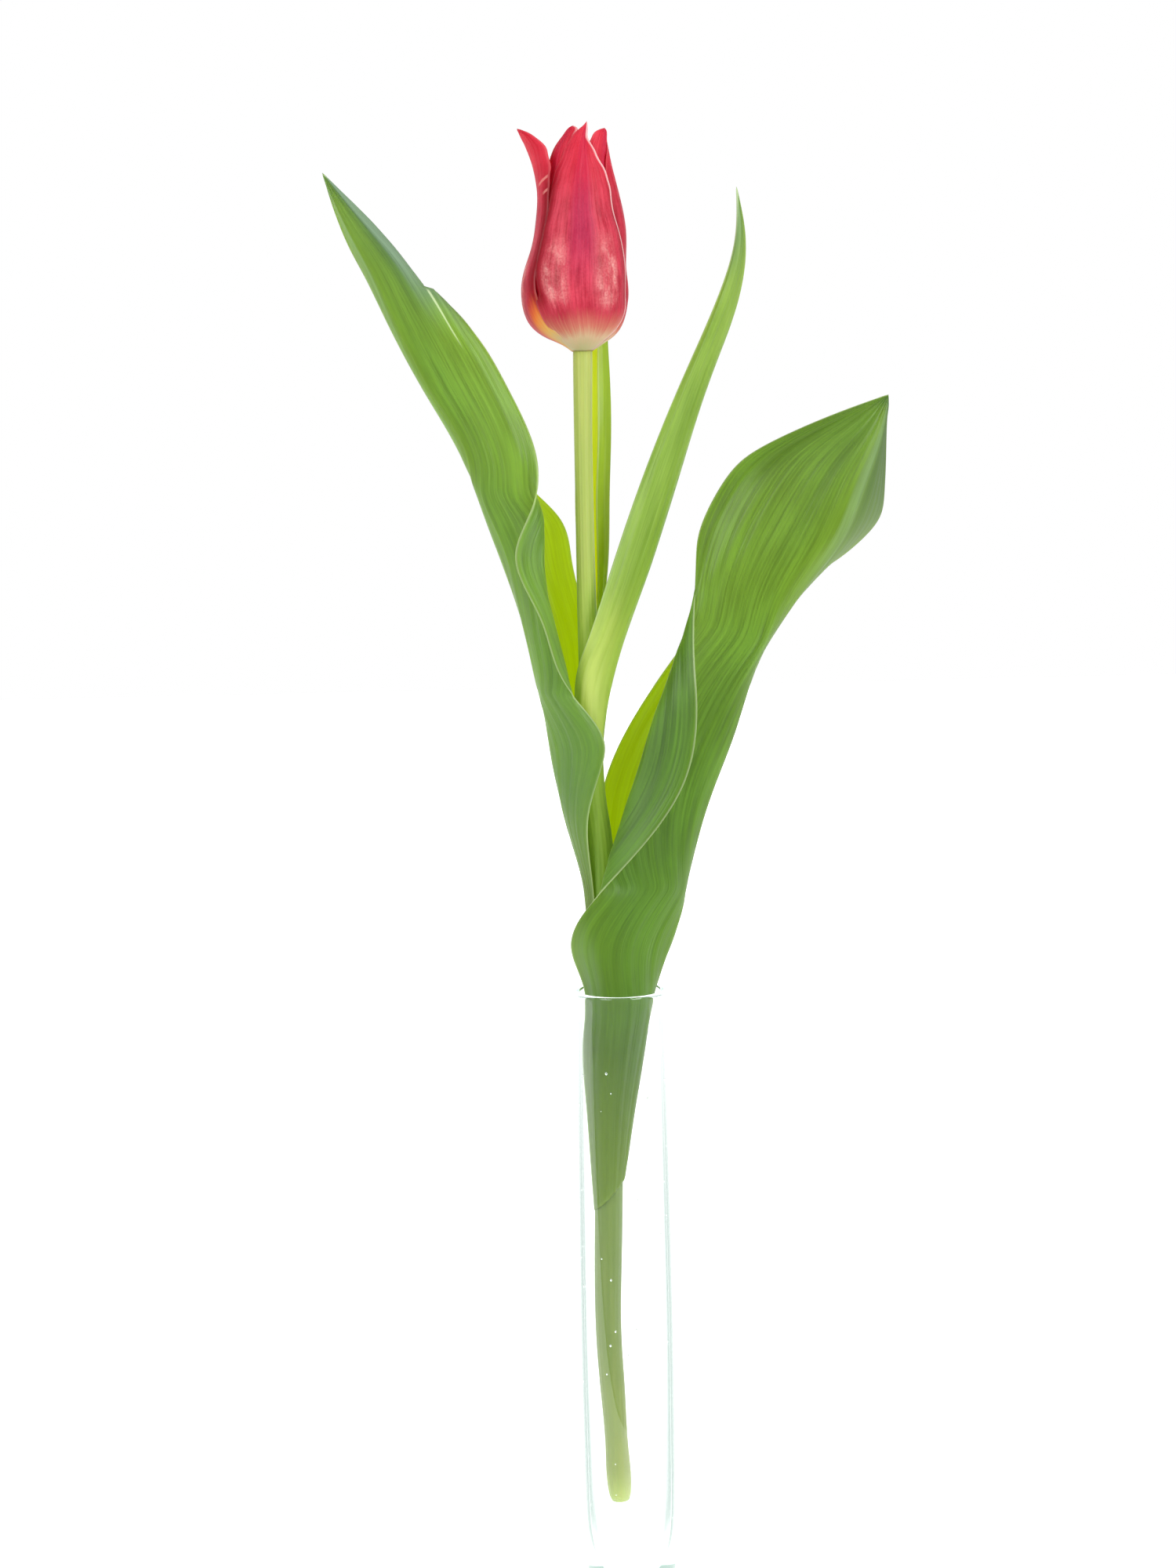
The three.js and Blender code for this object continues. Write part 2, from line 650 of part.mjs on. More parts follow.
function makePistil() {
  const rings = PISTIL_RINGS.map(([up, radius, swell]) => {
    return levelRing(SEAT_X, 0, DISC_TOP_Z + SEAT_CLEARANCE + up, radius, PISTIL_SIDES, 3, swell);
  });
  return new THREE.Mesh(ringsGeometry(rings), PALE_GREEN);
}

function makeStamen(index) {
  const angle = (2 * Math.PI * (index + 0.5)) / STAMEN_COUNT;
  const rings = STAMEN_RINGS.map(([up, spread, radius]) => {
    const reach = STAMEN_FOOT_RADIUS + spread;
    const x = SEAT_X + reach * Math.cos(angle);
    const y = reach * Math.sin(angle);
    return levelRing(x, y, DISC_TOP_Z + SEAT_CLEARANCE + up, radius, STAMEN_SIDES);
  });
  return new THREE.Mesh(ringsGeometry(rings), DARK_ANTHER);
}

const group = new THREE.Group();

function add(name, mesh) {
  mesh.name = name;
  group.add(mesh);
}

add("vase", makeVase());
add("stem", makeStem());
for (const leaf of LEAVES) {
  add(leaf.name, makeLeaf(leaf));
}
for (const tepal of TEPALS) {
  add(tepal.name, makeTepal(tepal));
}
add("pistil", makePistil());
for (let i = 0; i < STAMEN_COUNT; i += 1) {
  add(`stamen_${i + 1}`, makeStamen(i));
}

export default group;
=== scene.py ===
import math

import bpy
import numpy as np
from mathutils import Matrix, Vector


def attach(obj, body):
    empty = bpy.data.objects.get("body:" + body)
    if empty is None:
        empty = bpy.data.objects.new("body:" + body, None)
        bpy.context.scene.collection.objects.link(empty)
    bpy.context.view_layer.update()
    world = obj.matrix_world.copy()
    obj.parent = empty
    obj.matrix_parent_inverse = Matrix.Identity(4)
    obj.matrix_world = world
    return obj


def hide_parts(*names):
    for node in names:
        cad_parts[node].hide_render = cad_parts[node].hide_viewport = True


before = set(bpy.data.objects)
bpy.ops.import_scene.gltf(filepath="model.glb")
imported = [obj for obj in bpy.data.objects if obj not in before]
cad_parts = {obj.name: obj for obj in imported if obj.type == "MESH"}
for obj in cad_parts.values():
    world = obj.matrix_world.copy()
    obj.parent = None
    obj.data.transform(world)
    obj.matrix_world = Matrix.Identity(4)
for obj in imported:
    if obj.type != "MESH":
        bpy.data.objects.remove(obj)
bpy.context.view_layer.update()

# Shapes below are in millimetres, and MM turns them into metres
MM = 0.001

# Vase: a slightly barrelled blown tube with a thick bottom and a rounded lip, outlined by [radius, height]
VASE_HEIGHT = 218
VASE_BASE_RADIUS = 13.6
VASE_BASE_EDGE = 0.8
VASE_MOUTH_RADIUS = 15.05
VASE_WALL = 1.5
VASE_BARREL = [[15.75, 55], [16, 90], [15.75, 135], [15.35, 180]]
VASE_WELL = [[14, 36], [13.3, 26], [11.8, 19], [8.9, 13.6], [4.5, 10.8], [0, 10.2]]
# The lip, and its rounding as [how far inwards, how far below the top]
LIP_WIDTH = 1.7
LIP_ROUNDING = [[0, 1.2], [0.1, 0.5], [0.4, 0.1]]
VASE_SIDES = 128
VASE_STEPS = 170
TURNING_RADIUS = 10
# Seeds are small bubbles of air in the glass
SEED_SPACING = 5
SEED_RADIUS = 0.3
LOWEST_SEED = 14
HIGHEST_SEED = 205
SEED_DRAW = 4

# Stem: [x, height, radius] along its centre line from the cut end up, then [height, radius] of the seat that
# carries the flower and of the disc inside it
STEM_COURSE = [
    [-3.4, 41, 3.3], [-3.5, 43, 3.65], [-4.3, 60, 3.9], [-5.3, 80, 4.15], [-6.2, 98, 4.3],
    [-5.9, 125, 4.6], [-5.1, 152, 4.7], [-4.5, 185, 4.6], [-4.4, 215, 4.45], [-5.2, 238, 4.35],
    [-5.3, 254, 4.25], [-5.9, 270, 4.2], [-7.3, 281, 4.05], [-7.9, 292, 3.95], [-8, 305, 3.8],
    [-8, 325, 3.45], [-8.3, 345, 3.15], [-8.4, 375, 2.95], [-8.3, 405, 2.95], [-8, 424, 3.1],
]
SEAT_X = -7.9
SEAT_COURSE = [
    [429.15, 3.1], [429.35, 2.8], [430, 2.1], [430.4, 1.8], [431.4, 1.8], [431.8, 2.6], [432.8, 2.6],
]
STEM_SIDES = 88
STEM_STEPS = 200
STEM_RIBS = 18
STEM_RIB_DEPTH = 0.05

# Leaves: a station crosses the blade by six points, on its far edge, far side, keel, near side, near fold
# and near edge. It gives their x, their y and their height, or one height for all. The stations go from the
# foot, which clasps the stem, towards the tip.
BROAD_LEAF = [
    [[-10.3, -4, 0.3, -2.2, -7.5, -10.2], [2, 5.4, 0, -4.9, -5, -1.4], [144, 150, 154, 151, 145.5, 143]],
    [[-11, -3, 4.5, 0.5, -7, -12], [4.5, 7, 0.5, -6, -7, -2], 180],
    [[-10.5, -0.5, 8.5, 4, -5.5, -12.3], [6.5, 9.5, 1, -7.5, -9.5, -3], 203],
    [[-8.5, 2.5, 12, 7, -4.5, -12], [8.3, 11.4, 1, -8, -10.9, -2.5], 219],
    [[-5, 12, 17.5, 8.5, -6.5, -16], [11.5, 10.5, 0, -9, -13.5, -6],
     [231, 231.5, 233.5, 234.5, 235.5, 234]],
    [[-5.5, 15.5, 23, 11.5, -5, -3.5], [12.5, 11, 0, -10, -14.5, -17],
     [253.5, 253.5, 255, 256.5, 256.5, 256]],
    [[-4.5, 16, 31.5, 19.5, 6, 22], [13.5, 12, 0, -8, -14, -21], [283, 282, 283.5, 285.5, 288.5, 289.5]],
    [[5, 23.5, 39, 27, 13, 26.5], [16, 14, -1, -9, -15, -22], [305, 305.5, 303, 308, 311, 314]],
    [[22.5, 36, 46.5, 34.5, 21.5, 26], [19, 17, -2, -9, -14, -18], [330, 327.5, 324, 329, 333, 334]],
    [[41.5, 51, 56.5, 43, 30, 27.5], [28, 16, -4, -9, -10, -7], [345, 343, 342.5, 348.5, 354, 358.5]],
    [[73, 71.5, 66.5, 53.5, 39, 30.5], [34, 14, -7, -10, -8, -3], [356.5, 357, 358, 365, 371.5, 374]],
    [[88, 83, 73.5, 61.5, 47, 38], [30, 11, -9, -10, -8, -2], [368, 367.5, 368.5, 376.5, 384, 387]],
    [[92, 88.5, 81, 71.5, 60, 50], [20, 6, -10, -10, -7, -2], [380, 379.5, 382.5, 389, 395, 397]],
    [[91.5, 90, 87, 82.5, 77, 72], [8, 1, -8, -8, -6, -3], [399, 398, 398.5, 402, 405, 406.5]],
]
LEFT_LEAF = [
    [[-7.6, -9.5, -10.5, -10.2, -9.2, -7.8], [4.7, 3.1, 0.6, -1.6, -3.4, -4.6], 240],
    [[-7.6, -9.8, -10.8, -10.5, -9.5, -8.1], [4.6, 3.1, 0.6, -1.7, -3.6, -4.8], 252],
    [[-6.5, -12, -16.5, -14, -11.5, -9.5], [7, 7, 0, -5.5, -7.5, -8],
     [273.5, 273.5, 274.5, 275, 275.5, 275.5]],
    [[-6.5, -13.5, -20, -15, -9.5, -5.2], [8, 8, 0, -6.5, -9.5, -8.6],
     [290.5, 290.5, 291.5, 292, 292.5, 292]],
    [[-6.5, -14, -21, -15.8, -9.3, -3.4], [9, 8.5, 0, -7, -10.2, -9.1],
     [297.5, 297.5, 298.5, 299, 299.2, 299.5]],
    [[-6.5, -14.5, -22, -17, -11, -5.2], [10, 9, 0, -7.5, -10.5, -9.6],
     [304.5, 305, 306, 306.5, 306.5, 306.5]],
    [[-6.5, -16.5, -25.5, -20, -14.5, -16.5], [12, 10, 0, -8, -11.6, -12.4],
     [321, 321, 322, 322.5, 322, 322.5]],
    [[-8.5, -19, -29.5, -24, -19, -23], [14, 11, 0, -8, -13, -16], [340, 339, 340, 340, 340.5, 342]],
    [[-13, -24, -36, -29.5, -22, -31], [15, 12, 0, -9, -14, -18], [361, 362, 362.5, 363, 363, 364]],
    [[-17, -29.5, -41.5, -32.5, -22.5, -25.5], [14, 10, -1, -9, -12, -16],
     [375.5, 377, 378, 377.5, 377, 378.5]],
    [[-28.5, -36.5, -46, -37, -28.5, -23], [11, 7, -2, -9, -13, -13], [388, 389.5, 391, 390, 390, 391]],
    [[-39.5, -48, -58, -49, -39, -32], [6, 3, -5, -10, -13, -11], [417, 416.5, 415.5, 416.5, 417.5, 417]],
    [[-54.5, -62, -70, -60.5, -52, -46], [0.5, -2, -8, -13, -14, -12],
     [439.5, 439, 438.5, 439.5, 441, 439]],
    [[-66, -71.5, -76.5, -69.5, -63, -59.5], [-3, -5, -9.5, -14, -14, -11.5],
     [453.5, 453, 453, 454.5, 456, 451.5]],
    [[-75.5, -78.5, -82, -77, -72.5, -70], [-6, -8, -11, -14, -14, -12],
     [465.5, 465, 464.5, 466, 467.5, 464.5]],
]
YOUNG_LEAF = [
    [[-5.8, -4.4, -4, -5.2, -9.3, -12.2], [4, 2.7, 0, -3.9, -4.5, -1.6], 301],
    [[-5.2, -3.8, -3.2, -5, -9.3, -12.8], [4.3, 2.7, 0, -4.4, -5.2, -2], 309],
    [[-3, -1.6, -1, -4, -8.4, -12.5], [4.8, 3, 0, -5, -6.5, -3.5], [320, 320.5, 320.5, 321.5, 322, 322]],
    [[0.8, 2.8, 3, -0.2, -4.8, -8.5], [6, 3.5, 0, -5, -7.6, -7], [335, 335, 335, 335.5, 335.5, 335]],
    [[7.5, 10.5, 12, 7.5, 3.5, -0.5], [5, 3.5, 0, -5, -7.5, -7], [357, 357, 357, 357, 357.5, 357.5]],
    [[19, 22, 23, 19, 15, 11.5], [4, 2.5, -1, -6, -8, -6.5], 390],
    [[29.5, 32, 33.5, 30, 27, 24.5], [2, 1, -2, -6, -7.5, -6], [420.5, 420.5, 420, 420, 420, 420]],
    [[40.5, 42, 43, 41, 39, 37], [-1, -1.5, -3, -6, -7, -6], 447.5],
    [[43.5, 44.5, 45, 44, 42.5, 42], [-3.5, -4, -5, -7, -7.5, -7], [465, 465, 465, 464.5, 464.5, 464.5]],
]
BACK_LEAF = [
    [[-11.8, -10.3, -8.4, -7.2, -6.2, -5.2], [2.2, 3.7, 4.4, 4.3, 4, 3.4], 317.5],
    [[-11, -7.5, -5, -4.6, -4.7, -5.3], [8, 9.5, 7.5, 6.6, 5.8, 5], 335],
    [[-11, -6, -2, -2.3, -3.3, -4.5], [14, 14, 10, 8.3, 7, 6], [355.5, 355.5, 355.5, 355.5, 355.5, 356]],
    [[-11.5, -5.5, -0.5, -1.2, -2.6, -4.5], [19, 18, 13, 10.3, 8.3, 7],
     [380.5, 380, 380, 380, 380.5, 380.5]],
    [[-10.5, -4.5, 0.5, -0.3, -1.6, -3.5], [22, 21, 16, 13.3, 11.3, 10], 401],
    [[-8, -3.5, 0.5, 0, -1, -3], [27, 26, 21, 19, 17.5, 16.5], [430, 429.5, 429.5, 429.5, 429.5, 429.5]],
    [[-5.5, -2.5, 0, -0.2, -0.8, -2], [28, 27.5, 24.5, 23.2, 22, 21], [450.5, 450.5, 450, 450, 450, 450]],
]
# tear is a torn notch in the near margin: from one length along to another, and how deep
LEAVES = [
    {
        "name": "leaf_lower_right", "stations": BROAD_LEAF, "tip": [91, -5, 413],
        "rows": 260, "columns": 90, "ribs": 13,
    },
    {
        "name": "leaf_left", "stations": LEFT_LEAF, "tip": [-89.5, -14, 486.5],
        "rows": 260, "columns": 90, "ribs": 11, "tear": [202, 219, 1.5],
    },
    {
        "name": "leaf_upper_right", "stations": YOUNG_LEAF, "tip": [42.5, -8, 480],
        "rows": 200, "columns": 50, "ribs": 7,
    },
    {
        "name": "leaf_upper_back", "stations": BACK_LEAF, "tip": [-1.5, 24, 468.5],
        "rows": 160, "columns": 40, "ribs": 6,
    },
]
KEEL_POINT = 2
LEAF_THICKNESS = 0.7
LEAF_MARGIN_THICKNESS = 0.3
LEAF_RIB_DEPTH = 0.09
LEAF_FINE_RIB_DEPTH = 0.05
LEAF_DENT_DEPTH = 0.28
# The veins fade where half the blade is narrower than this
VEINED_HALF_WIDTH = 14

# Flower: up is a list of heights above the flower's foot. At each of them, out is the radius of the cup, and
# left and right are a tepal's widths to either side of its middle, measured round the cup.
FLOWER_FOOT_Z = 429.4
TEPAL_THICKNESS = 0.55
TEPAL_MARGIN_THICKNESS = 0.22
TEPAL_ROWS = 130
TEPAL_COLUMNS = 64
TEPAL_GROOVE_DEPTH = 0.25
TEPAL_WAVE_DEPTH = 0.3
BELLY_SHIFT_X = -2
CROWN_SHIFT_X = 1.3
OUTER_UP = [0, 2.2, 5.2, 9, 13, 17, 21, 26, 32, 40, 48, 56, 64, 69, 71.5, 73]
INNER_UP = [1.3, 3.2, 6.5, 11.5, 18, 26, 36, 48, 58, 64, 68, 69.6, 70.2]
# Up to the belly the inner tepals share their out and their widths
INNER_CUP = [2.4, 5, 9.6, 13, 14.4, 13.6]
INNER_HALF = [2, 4.4, 9, 12, 13, 12.6, 11.6]
# turn is the azimuth in degrees from the viewer towards +X. tuck draws the left and right margins in under a
# neighbour, each below and above the belly. lean moves the tip by [x, y, z], twist turns it by degrees, and
# both fade out down to lean_from above the foot.
UNTUCKED = [[0, 0], [0, 0]]
TEPALS = [
    {
        "name": "tepal_outer_front", "up": OUTER_UP, "turn": 7,
        "out": [3.3, 6.9, 11.6, 15.2, 16.8, 17.2, 17, 16.5, 15.6, 14.4, 13.3, 11.7, 9.8, 8.2, 7.2, 6.6],
        "left": [3.4, 6.9, 10.9, 14.1, 15.5, 17.8, 19.6, 20.2, 19, 16.6, 13.4, 10.4, 6.4, 3.9, 1, 0],
        "right": [3.1, 6.5, 11.3, 15.8, 18.8, 19.9, 20, 18.6, 16.9, 13.8, 11, 8.2, 2.8, 0.8, 0.4, 0],
        "tuck": [[0, 1.3], [0, 0]], "lean": [2.8, 1, -0.6], "lean_from": 40,
    },
    {
        "name": "tepal_outer_right", "up": OUTER_UP, "turn": 122,
        "out": [3.2, 6.6, 11.2, 14.4, 16.2, 17, 16.9, 16.1, 15.7, 15.1, 13.4, 11, 8.6, 7.2, 6.4, 6],
        "left": [2.8, 6, 10.2, 13.8, 16, 17, 17.2, 17, 17, 16.6, 15.6, 12.6, 8, 4.2, 2, 0],
        "right": [2.8, 6, 10.2, 13.8, 16, 17, 17, 16.4, 15.4, 13.6, 11.5, 8.8, 5.4, 2.9, 1.4, 0],
        "tuck": [[1.6, 1.6], [0, 0]], "lean": [3.2, 0, -2.6], "lean_from": 34,
    },
    {
        "name": "tepal_outer_left", "up": OUTER_UP, "turn": -120, "twist": 40,
        "out": [
            3.3, 6.4, 12.2, 15.7, 16.8, 17.2, 17.2, 16.5, 14.9, 13.5, 12.6, 12.2, 11.8, 11.6, 11.5, 11.5,
        ],
        "left": [2.8, 6, 10.2, 13.8, 16, 17, 17, 16.4, 15, 13, 11, 8.8, 6, 3.4, 1.6, 0],
        "right": [4.2, 9.6, 17.4, 21.4, 22, 21.9, 21.2, 20.3, 18.4, 17, 16, 16.4, 15, 10, 5, 0],
        "tuck": [[0, 0], [1.4, 0]], "lean": [-7.7, 5, -1.4], "lean_from": 46,
    },
    {
        "name": "tepal_inner_left", "up": INNER_UP, "turn": -55,
        "out": INNER_CUP + [12, 11.4, 10.2, 8.8, 6.4, 5.4, 5],
        "left": INNER_HALF + [10.8, 9.8, 7.6, 5, 3, 0],
        "right": INNER_HALF + [9.8, 7.6, 5.6, 3.6, 2, 0],
        "lean": [3.2, 0, 1.3], "lean_from": 40,
    },
    {
        "name": "tepal_inner_right", "up": INNER_UP, "turn": 65,
        "out": INNER_CUP + [11.8, 10.2, 8.4, 6.8, 5.8, 5.4, 5.2],
        "left": INNER_HALF + [10.2, 9, 7.4, 4.8, 2.4, 0],
        "right": INNER_HALF + [9.8, 7.8, 6.4, 4.6, 2.6, 0],
        "lean": [4.6, 0, 0.4], "lean_from": 40,
    },
    {
        "name": "tepal_inner_back", "up": INNER_UP, "turn": 185,
        "out": INNER_CUP + [11.8, 10, 8.2, 6.8, 5.8, 5.4, 5.2],
        "left": INNER_HALF + [9.8, 7, 4.4, 2.4, 1.2, 0],
        "right": INNER_HALF + [9.8, 7, 4.4, 2.4, 1.2, 0],
        "lean": [0, 1, -1], "lean_from": 40,
    },
]

# Pistil and stamens stand on the disc inside the closed flower. Their rings are [height above the disc,
# distance out from the foot, radius, depth of the lobes as a share of the radius].
DISC_TOP_Z = SEAT_COURSE[-1][0]
DISC_CLEARANCE = 0.3
PISTIL_SIDES = 48
PISTIL_RINGS = [
    [0, 0, 1, 0], [1, 0, 1.1, 0], [3.5, 0, 2.4, 0.08], [9, 0, 2.9, 0.12], [16, 0, 2.6, 0.12],
    [20, 0, 2.1, 0.1], [21.5, 0, 2.7, 0.3], [23, 0, 3.5, 0.42], [24.2, 0, 2.9, 0.45],
]
STAMEN_COUNT = 6
STAMEN_FOOT_RADIUS = 1.95
STAMEN_SIDES = 24
STAMEN_RINGS = [
    [0, 0, 0.4, 0], [1.5, 0.3, 0.45, 0], [4, 2.2, 0.7, 0], [8, 3.2, 0.5, 0], [8.8, 3.3, 0.9, 0.1],
    [11, 3.5, 1.15, 0.18], [16, 3.7, 1.1, 0.18], [19, 3.8, 0.8, 0.15], [20.2, 3.8, 0.3, 0],
]
RING_STEPS = 60

# Stage, in metres and watts. The floor lies a hair below the vase's base.
FLOOR_SIDE = 4
FLOOR_FRONT_Y = -0.2
FLOOR_Z = -0.0003
# Light that has met fewer than four faces of the glass has met few
FEW_FACES = 3.5
SOFTBOXES = {"softbox_left": ((-0.7, -0.85, 0.75), 6), "softbox_right": ((0.75, -0.8, 0.8), 9)}
SOFTBOX_WIDTH = 0.6
SOFTBOX_HEIGHT = 0.7
LIT_POINT = (0, 0, 0.35)

# Where the photograph was taken from. Pitch and roll are in degrees, focal length and sensor in millimetres.
CAMERA_PLACE = (-0.00922, -0.891, 0.39046)
CAMERA_PITCH = 6.6
CAMERA_ROLL = 1.25
CAMERA_LENS = 62.1
CAMERA_SENSOR = 36


def spline_through(knots, points):
    """The natural cubic spline through points at knots, as a function of an array of places along it."""
    knots = np.asarray(knots, float)
    points = np.asarray(points, float)
    widths = np.diff(knots)
    slopes = np.diff(points, axis=0) / widths[:, None]
    weights = np.eye(len(knots))
    turns = np.zeros_like(points)
    for i in range(1, len(knots) - 1):
        weights[i, i - 1 : i + 2] = widths[i - 1], 2 * (widths[i - 1] + widths[i]), widths[i]
        turns[i] = 6 * (slopes[i] - slopes[i - 1])
    bends = np.linalg.solve(weights, turns)

    def at(places):
        places = np.asarray(places, float)
        i = np.clip(np.searchsorted(knots, places, side="right") - 1, 0, len(widths) - 1)
        width = widths[i][:, None]
        b = (places - knots[i])[:, None] / width
        a = 1 - b
        bow = (a**3 - a) * bends[i] + (b**3 - b) * bends[i + 1]
        return a * points[i] + b * points[i + 1] + bow * width**2 / 6

    return at


def lengths_along(points, power=1.0):
    """The distance from the first point to each, summed over the steps, each step raised to a power."""
    steps = np.linalg.norm(np.diff(points, axis=0), axis=1)
    return np.concatenate([[0], np.cumsum(steps**power)])


def smoothstep(x):
    t = np.clip(x, 0, 1)
    return t * t * (3 - 2 * t)


def paint(red, green, blue):
    """A colour named by its screen values from 0 to 255, as light."""
    channels = []
    for level in (red, green, blue):
        c = level / 255
        channels.append(c / 12.92 if c <= 0.04045 else ((c + 0.055) / 1.055) ** 2.4)
    return (*channels, 1.0)


# Node trees

# The attribute that guides a blade's finish: place across from -1 to 1, then way along from the foot and
# distance to the margin, in millimetres
GUIDE = "blade"


class Wire:
    """A socket in a node tree. A sum that is written with it adds the Math nodes that work the sum out."""

    def __init__(self, nodes, socket):
        self.nodes = nodes
        self.socket = socket

    def maths(self, operation, other=0):
        return self.nodes.maths(operation, self, other)

    def __add__(self, other):
        return self.maths("ADD", other)

    def __sub__(self, other):
        return self.maths("SUBTRACT", other)

    def __rsub__(self, other):
        return self.nodes.maths("SUBTRACT", other, self)

    def __mul__(self, other):
        return self.maths("MULTIPLY", other)

    def __truediv__(self, other):
        return self.maths("DIVIDE", other)

    def __rtruediv__(self, other):
        return self.nodes.maths("DIVIDE", other, self)

    def __gt__(self, other):
        return self.maths("GREATER_THAN", other)

    def __lt__(self, other):
        return self.maths("LESS_THAN", other)

    __radd__ = __add__
    __rmul__ = __mul__

    def larger(self, other):
        return self.maths("MAXIMUM", other)

    def climb(self, low, high, way="LINEAR"):
        """0 below low and 1 above high, with an even climb between them."""
        inputs = {"Value": self, "From Min": low, "From Max": high}
        return self.nodes.add("ShaderNodeMapRange", {"interpolation_type": way}, inputs)

    def rise(self, low, high):
        """0 below low and 1 above high, with a smooth climb between them."""
        return self.climb(low, high, "SMOOTHSTEP")

    def near(self, place, inner, outer):
        """1 at a place, fading to 0 as the square of the distance from it goes from inner to outer."""
        off = self - place
        return 1 - (off * off).rise(inner, outer)


class Nodes:
    """A node tree as it is being built."""

    def __init__(self, tree):
        self.tree = tree

    def add(self, kind, settings=None, inputs=None, output=0):
        """Adds a node: its settings first, then its inputs' values or wires. Returns one of its outputs."""
        node = self.tree.nodes.new(kind)
        for name, value in (settings or {}).items():
            if name == "stops":
                self.set_stops(node.color_ramp.elements, value)
            else:
                setattr(node, name, value)
        for name, value in (inputs or {}).items():
            if isinstance(value, Wire):
                self.tree.links.new(value.socket, node.inputs[name])
            else:
                node.inputs[name].default_value = value
        return Wire(self, node.outputs[output] if node.outputs else None)

    @staticmethod
    def set_stops(elements, stops):
        """Sets a ramp's elements to stops, each a position and a colour's three screen values."""
        while len(elements) < len(stops):
            elements.new(0.5)
        for element, (position, *colour) in zip(elements, stops):
            element.position = position
            element.color = paint(*colour)

    def outputs(self, wire, *names):
        return [Wire(self, wire.socket.node.outputs[name]) for name in names]

    def maths(self, operation, first, second):
        return self.add("ShaderNodeMath", {"operation": operation}, {0: first, 1: second})

    def blend(self, share, first, second):
        """A colour that goes from first to second as share goes from 0 to 1."""
        return self.add("ShaderNodeMix", {"data_type": "RGBA"}, {0: share, 6: first, 7: second}, output=2)

    def ramp(self, share, stops):
        return self.add("ShaderNodeValToRGB", {"stops": stops}, {0: share})

    def vector(self, x, y, z=0):
        return self.add("ShaderNodeCombineXYZ", None, {0: x, 1: y, 2: z})

    def split(self, vector):
        return self.outputs(self.add("ShaderNodeSeparateXYZ", None, {0: vector}), "X", "Y", "Z")

    def scaled(self, vector, scale):
        return self.add("ShaderNodeVectorMath", {"operation": "SCALE"}, {0: vector, "Scale": scale})

    def noise(self, vector, scale=1, detail=2, roughness=0.5):
        inputs = {"Vector": vector, "Scale": scale, "Detail": detail, "Roughness": roughness}
        return self.add("ShaderNodeTexNoise", None, inputs)

    def place(self):
        return self.add("ShaderNodeTexCoord", output="Object")

    def guide(self):
        """How far across, how far along and how far from the margin."""
        return self.split(self.add("ShaderNodeAttribute", {"attribute_name": GUIDE}, output="Vector"))

    def ray(self, *names):
        return self.outputs(self.add("ShaderNodeLightPath"), *names)

    def bump(self, height, strength, distance):
        inputs = {"Height": height, "Strength": strength, "Distance": distance}
        return self.add("ShaderNodeBump", None, inputs)

    def moved(self, shape, offset):
        return self.add("GeometryNodeSetPosition", None, {"Geometry": shape, "Offset": offset})

    def read(self, name, kind="FLOAT"):
        return self.add("GeometryNodeInputNamedAttribute", {"data_type": kind}, {"Name": name})

    def store(self, shape, name, value, kind="FLOAT"):
        inputs = {"Geometry": shape, "Name": name, "Value": value}
        return self.add("GeometryNodeStoreNamedAttribute", {"data_type": kind}, inputs)


# Finishes

def new_finish(name):
    """An empty material and its nodes."""
    material = bpy.data.materials.new(name)
    material.use_nodes = True
    material.node_tree.nodes.clear()
    return material, Nodes(material.node_tree)


def end_finish(material, nodes, surface, **ends):
    nodes.add("ShaderNodeOutputMaterial", None, {"Surface": surface, **ends})
    return material


def lit_through(nodes, share, surface, glow, bump):
    """A thin surface that lets a share of the light from behind through in the colour of its glow."""
    through = nodes.add("ShaderNodeBsdfTranslucent", None, {"Color": glow, "Normal": bump})
    return nodes.add("ShaderNodeMixShader", None, {0: share, 1: surface, 2: through})


def glass_finish():
    """Clear, faintly green glass. Lamps reach what stands in it."""
    material, nodes = new_finish("clear_glass")
    glass = nodes.add("ShaderNodeBsdfPrincipled", None, {
        "Base Color": (1, 1, 1, 1),
        "Roughness": 0,
        "IOR": 1.5,
        "Transmission Weight": 1,
    })
    open_way = nodes.add("ShaderNodeBsdfTransparent", None, {"Color": (0.97, 0.985, 0.98, 1)})
    shadow, diffuse, glossy, sharp, depth = nodes.ray(
        "Is Shadow Ray", "Is Diffuse Ray", "Is Glossy Ray", "Is Singular Ray", "Ray Depth")
    through = diffuse.larger(glossy * (1 - sharp)).larger(depth > FEW_FACES)
    surface = nodes.add("ShaderNodeMixShader", None, {0: shadow.larger(through), 1: glass, 2: open_way})
    body = nodes.add("ShaderNodeVolumeAbsorption", None, {"Color": (0.55, 0.86, 0.74, 1), "Density": 22})
    return end_finish(material, nodes, surface, Volume=body)


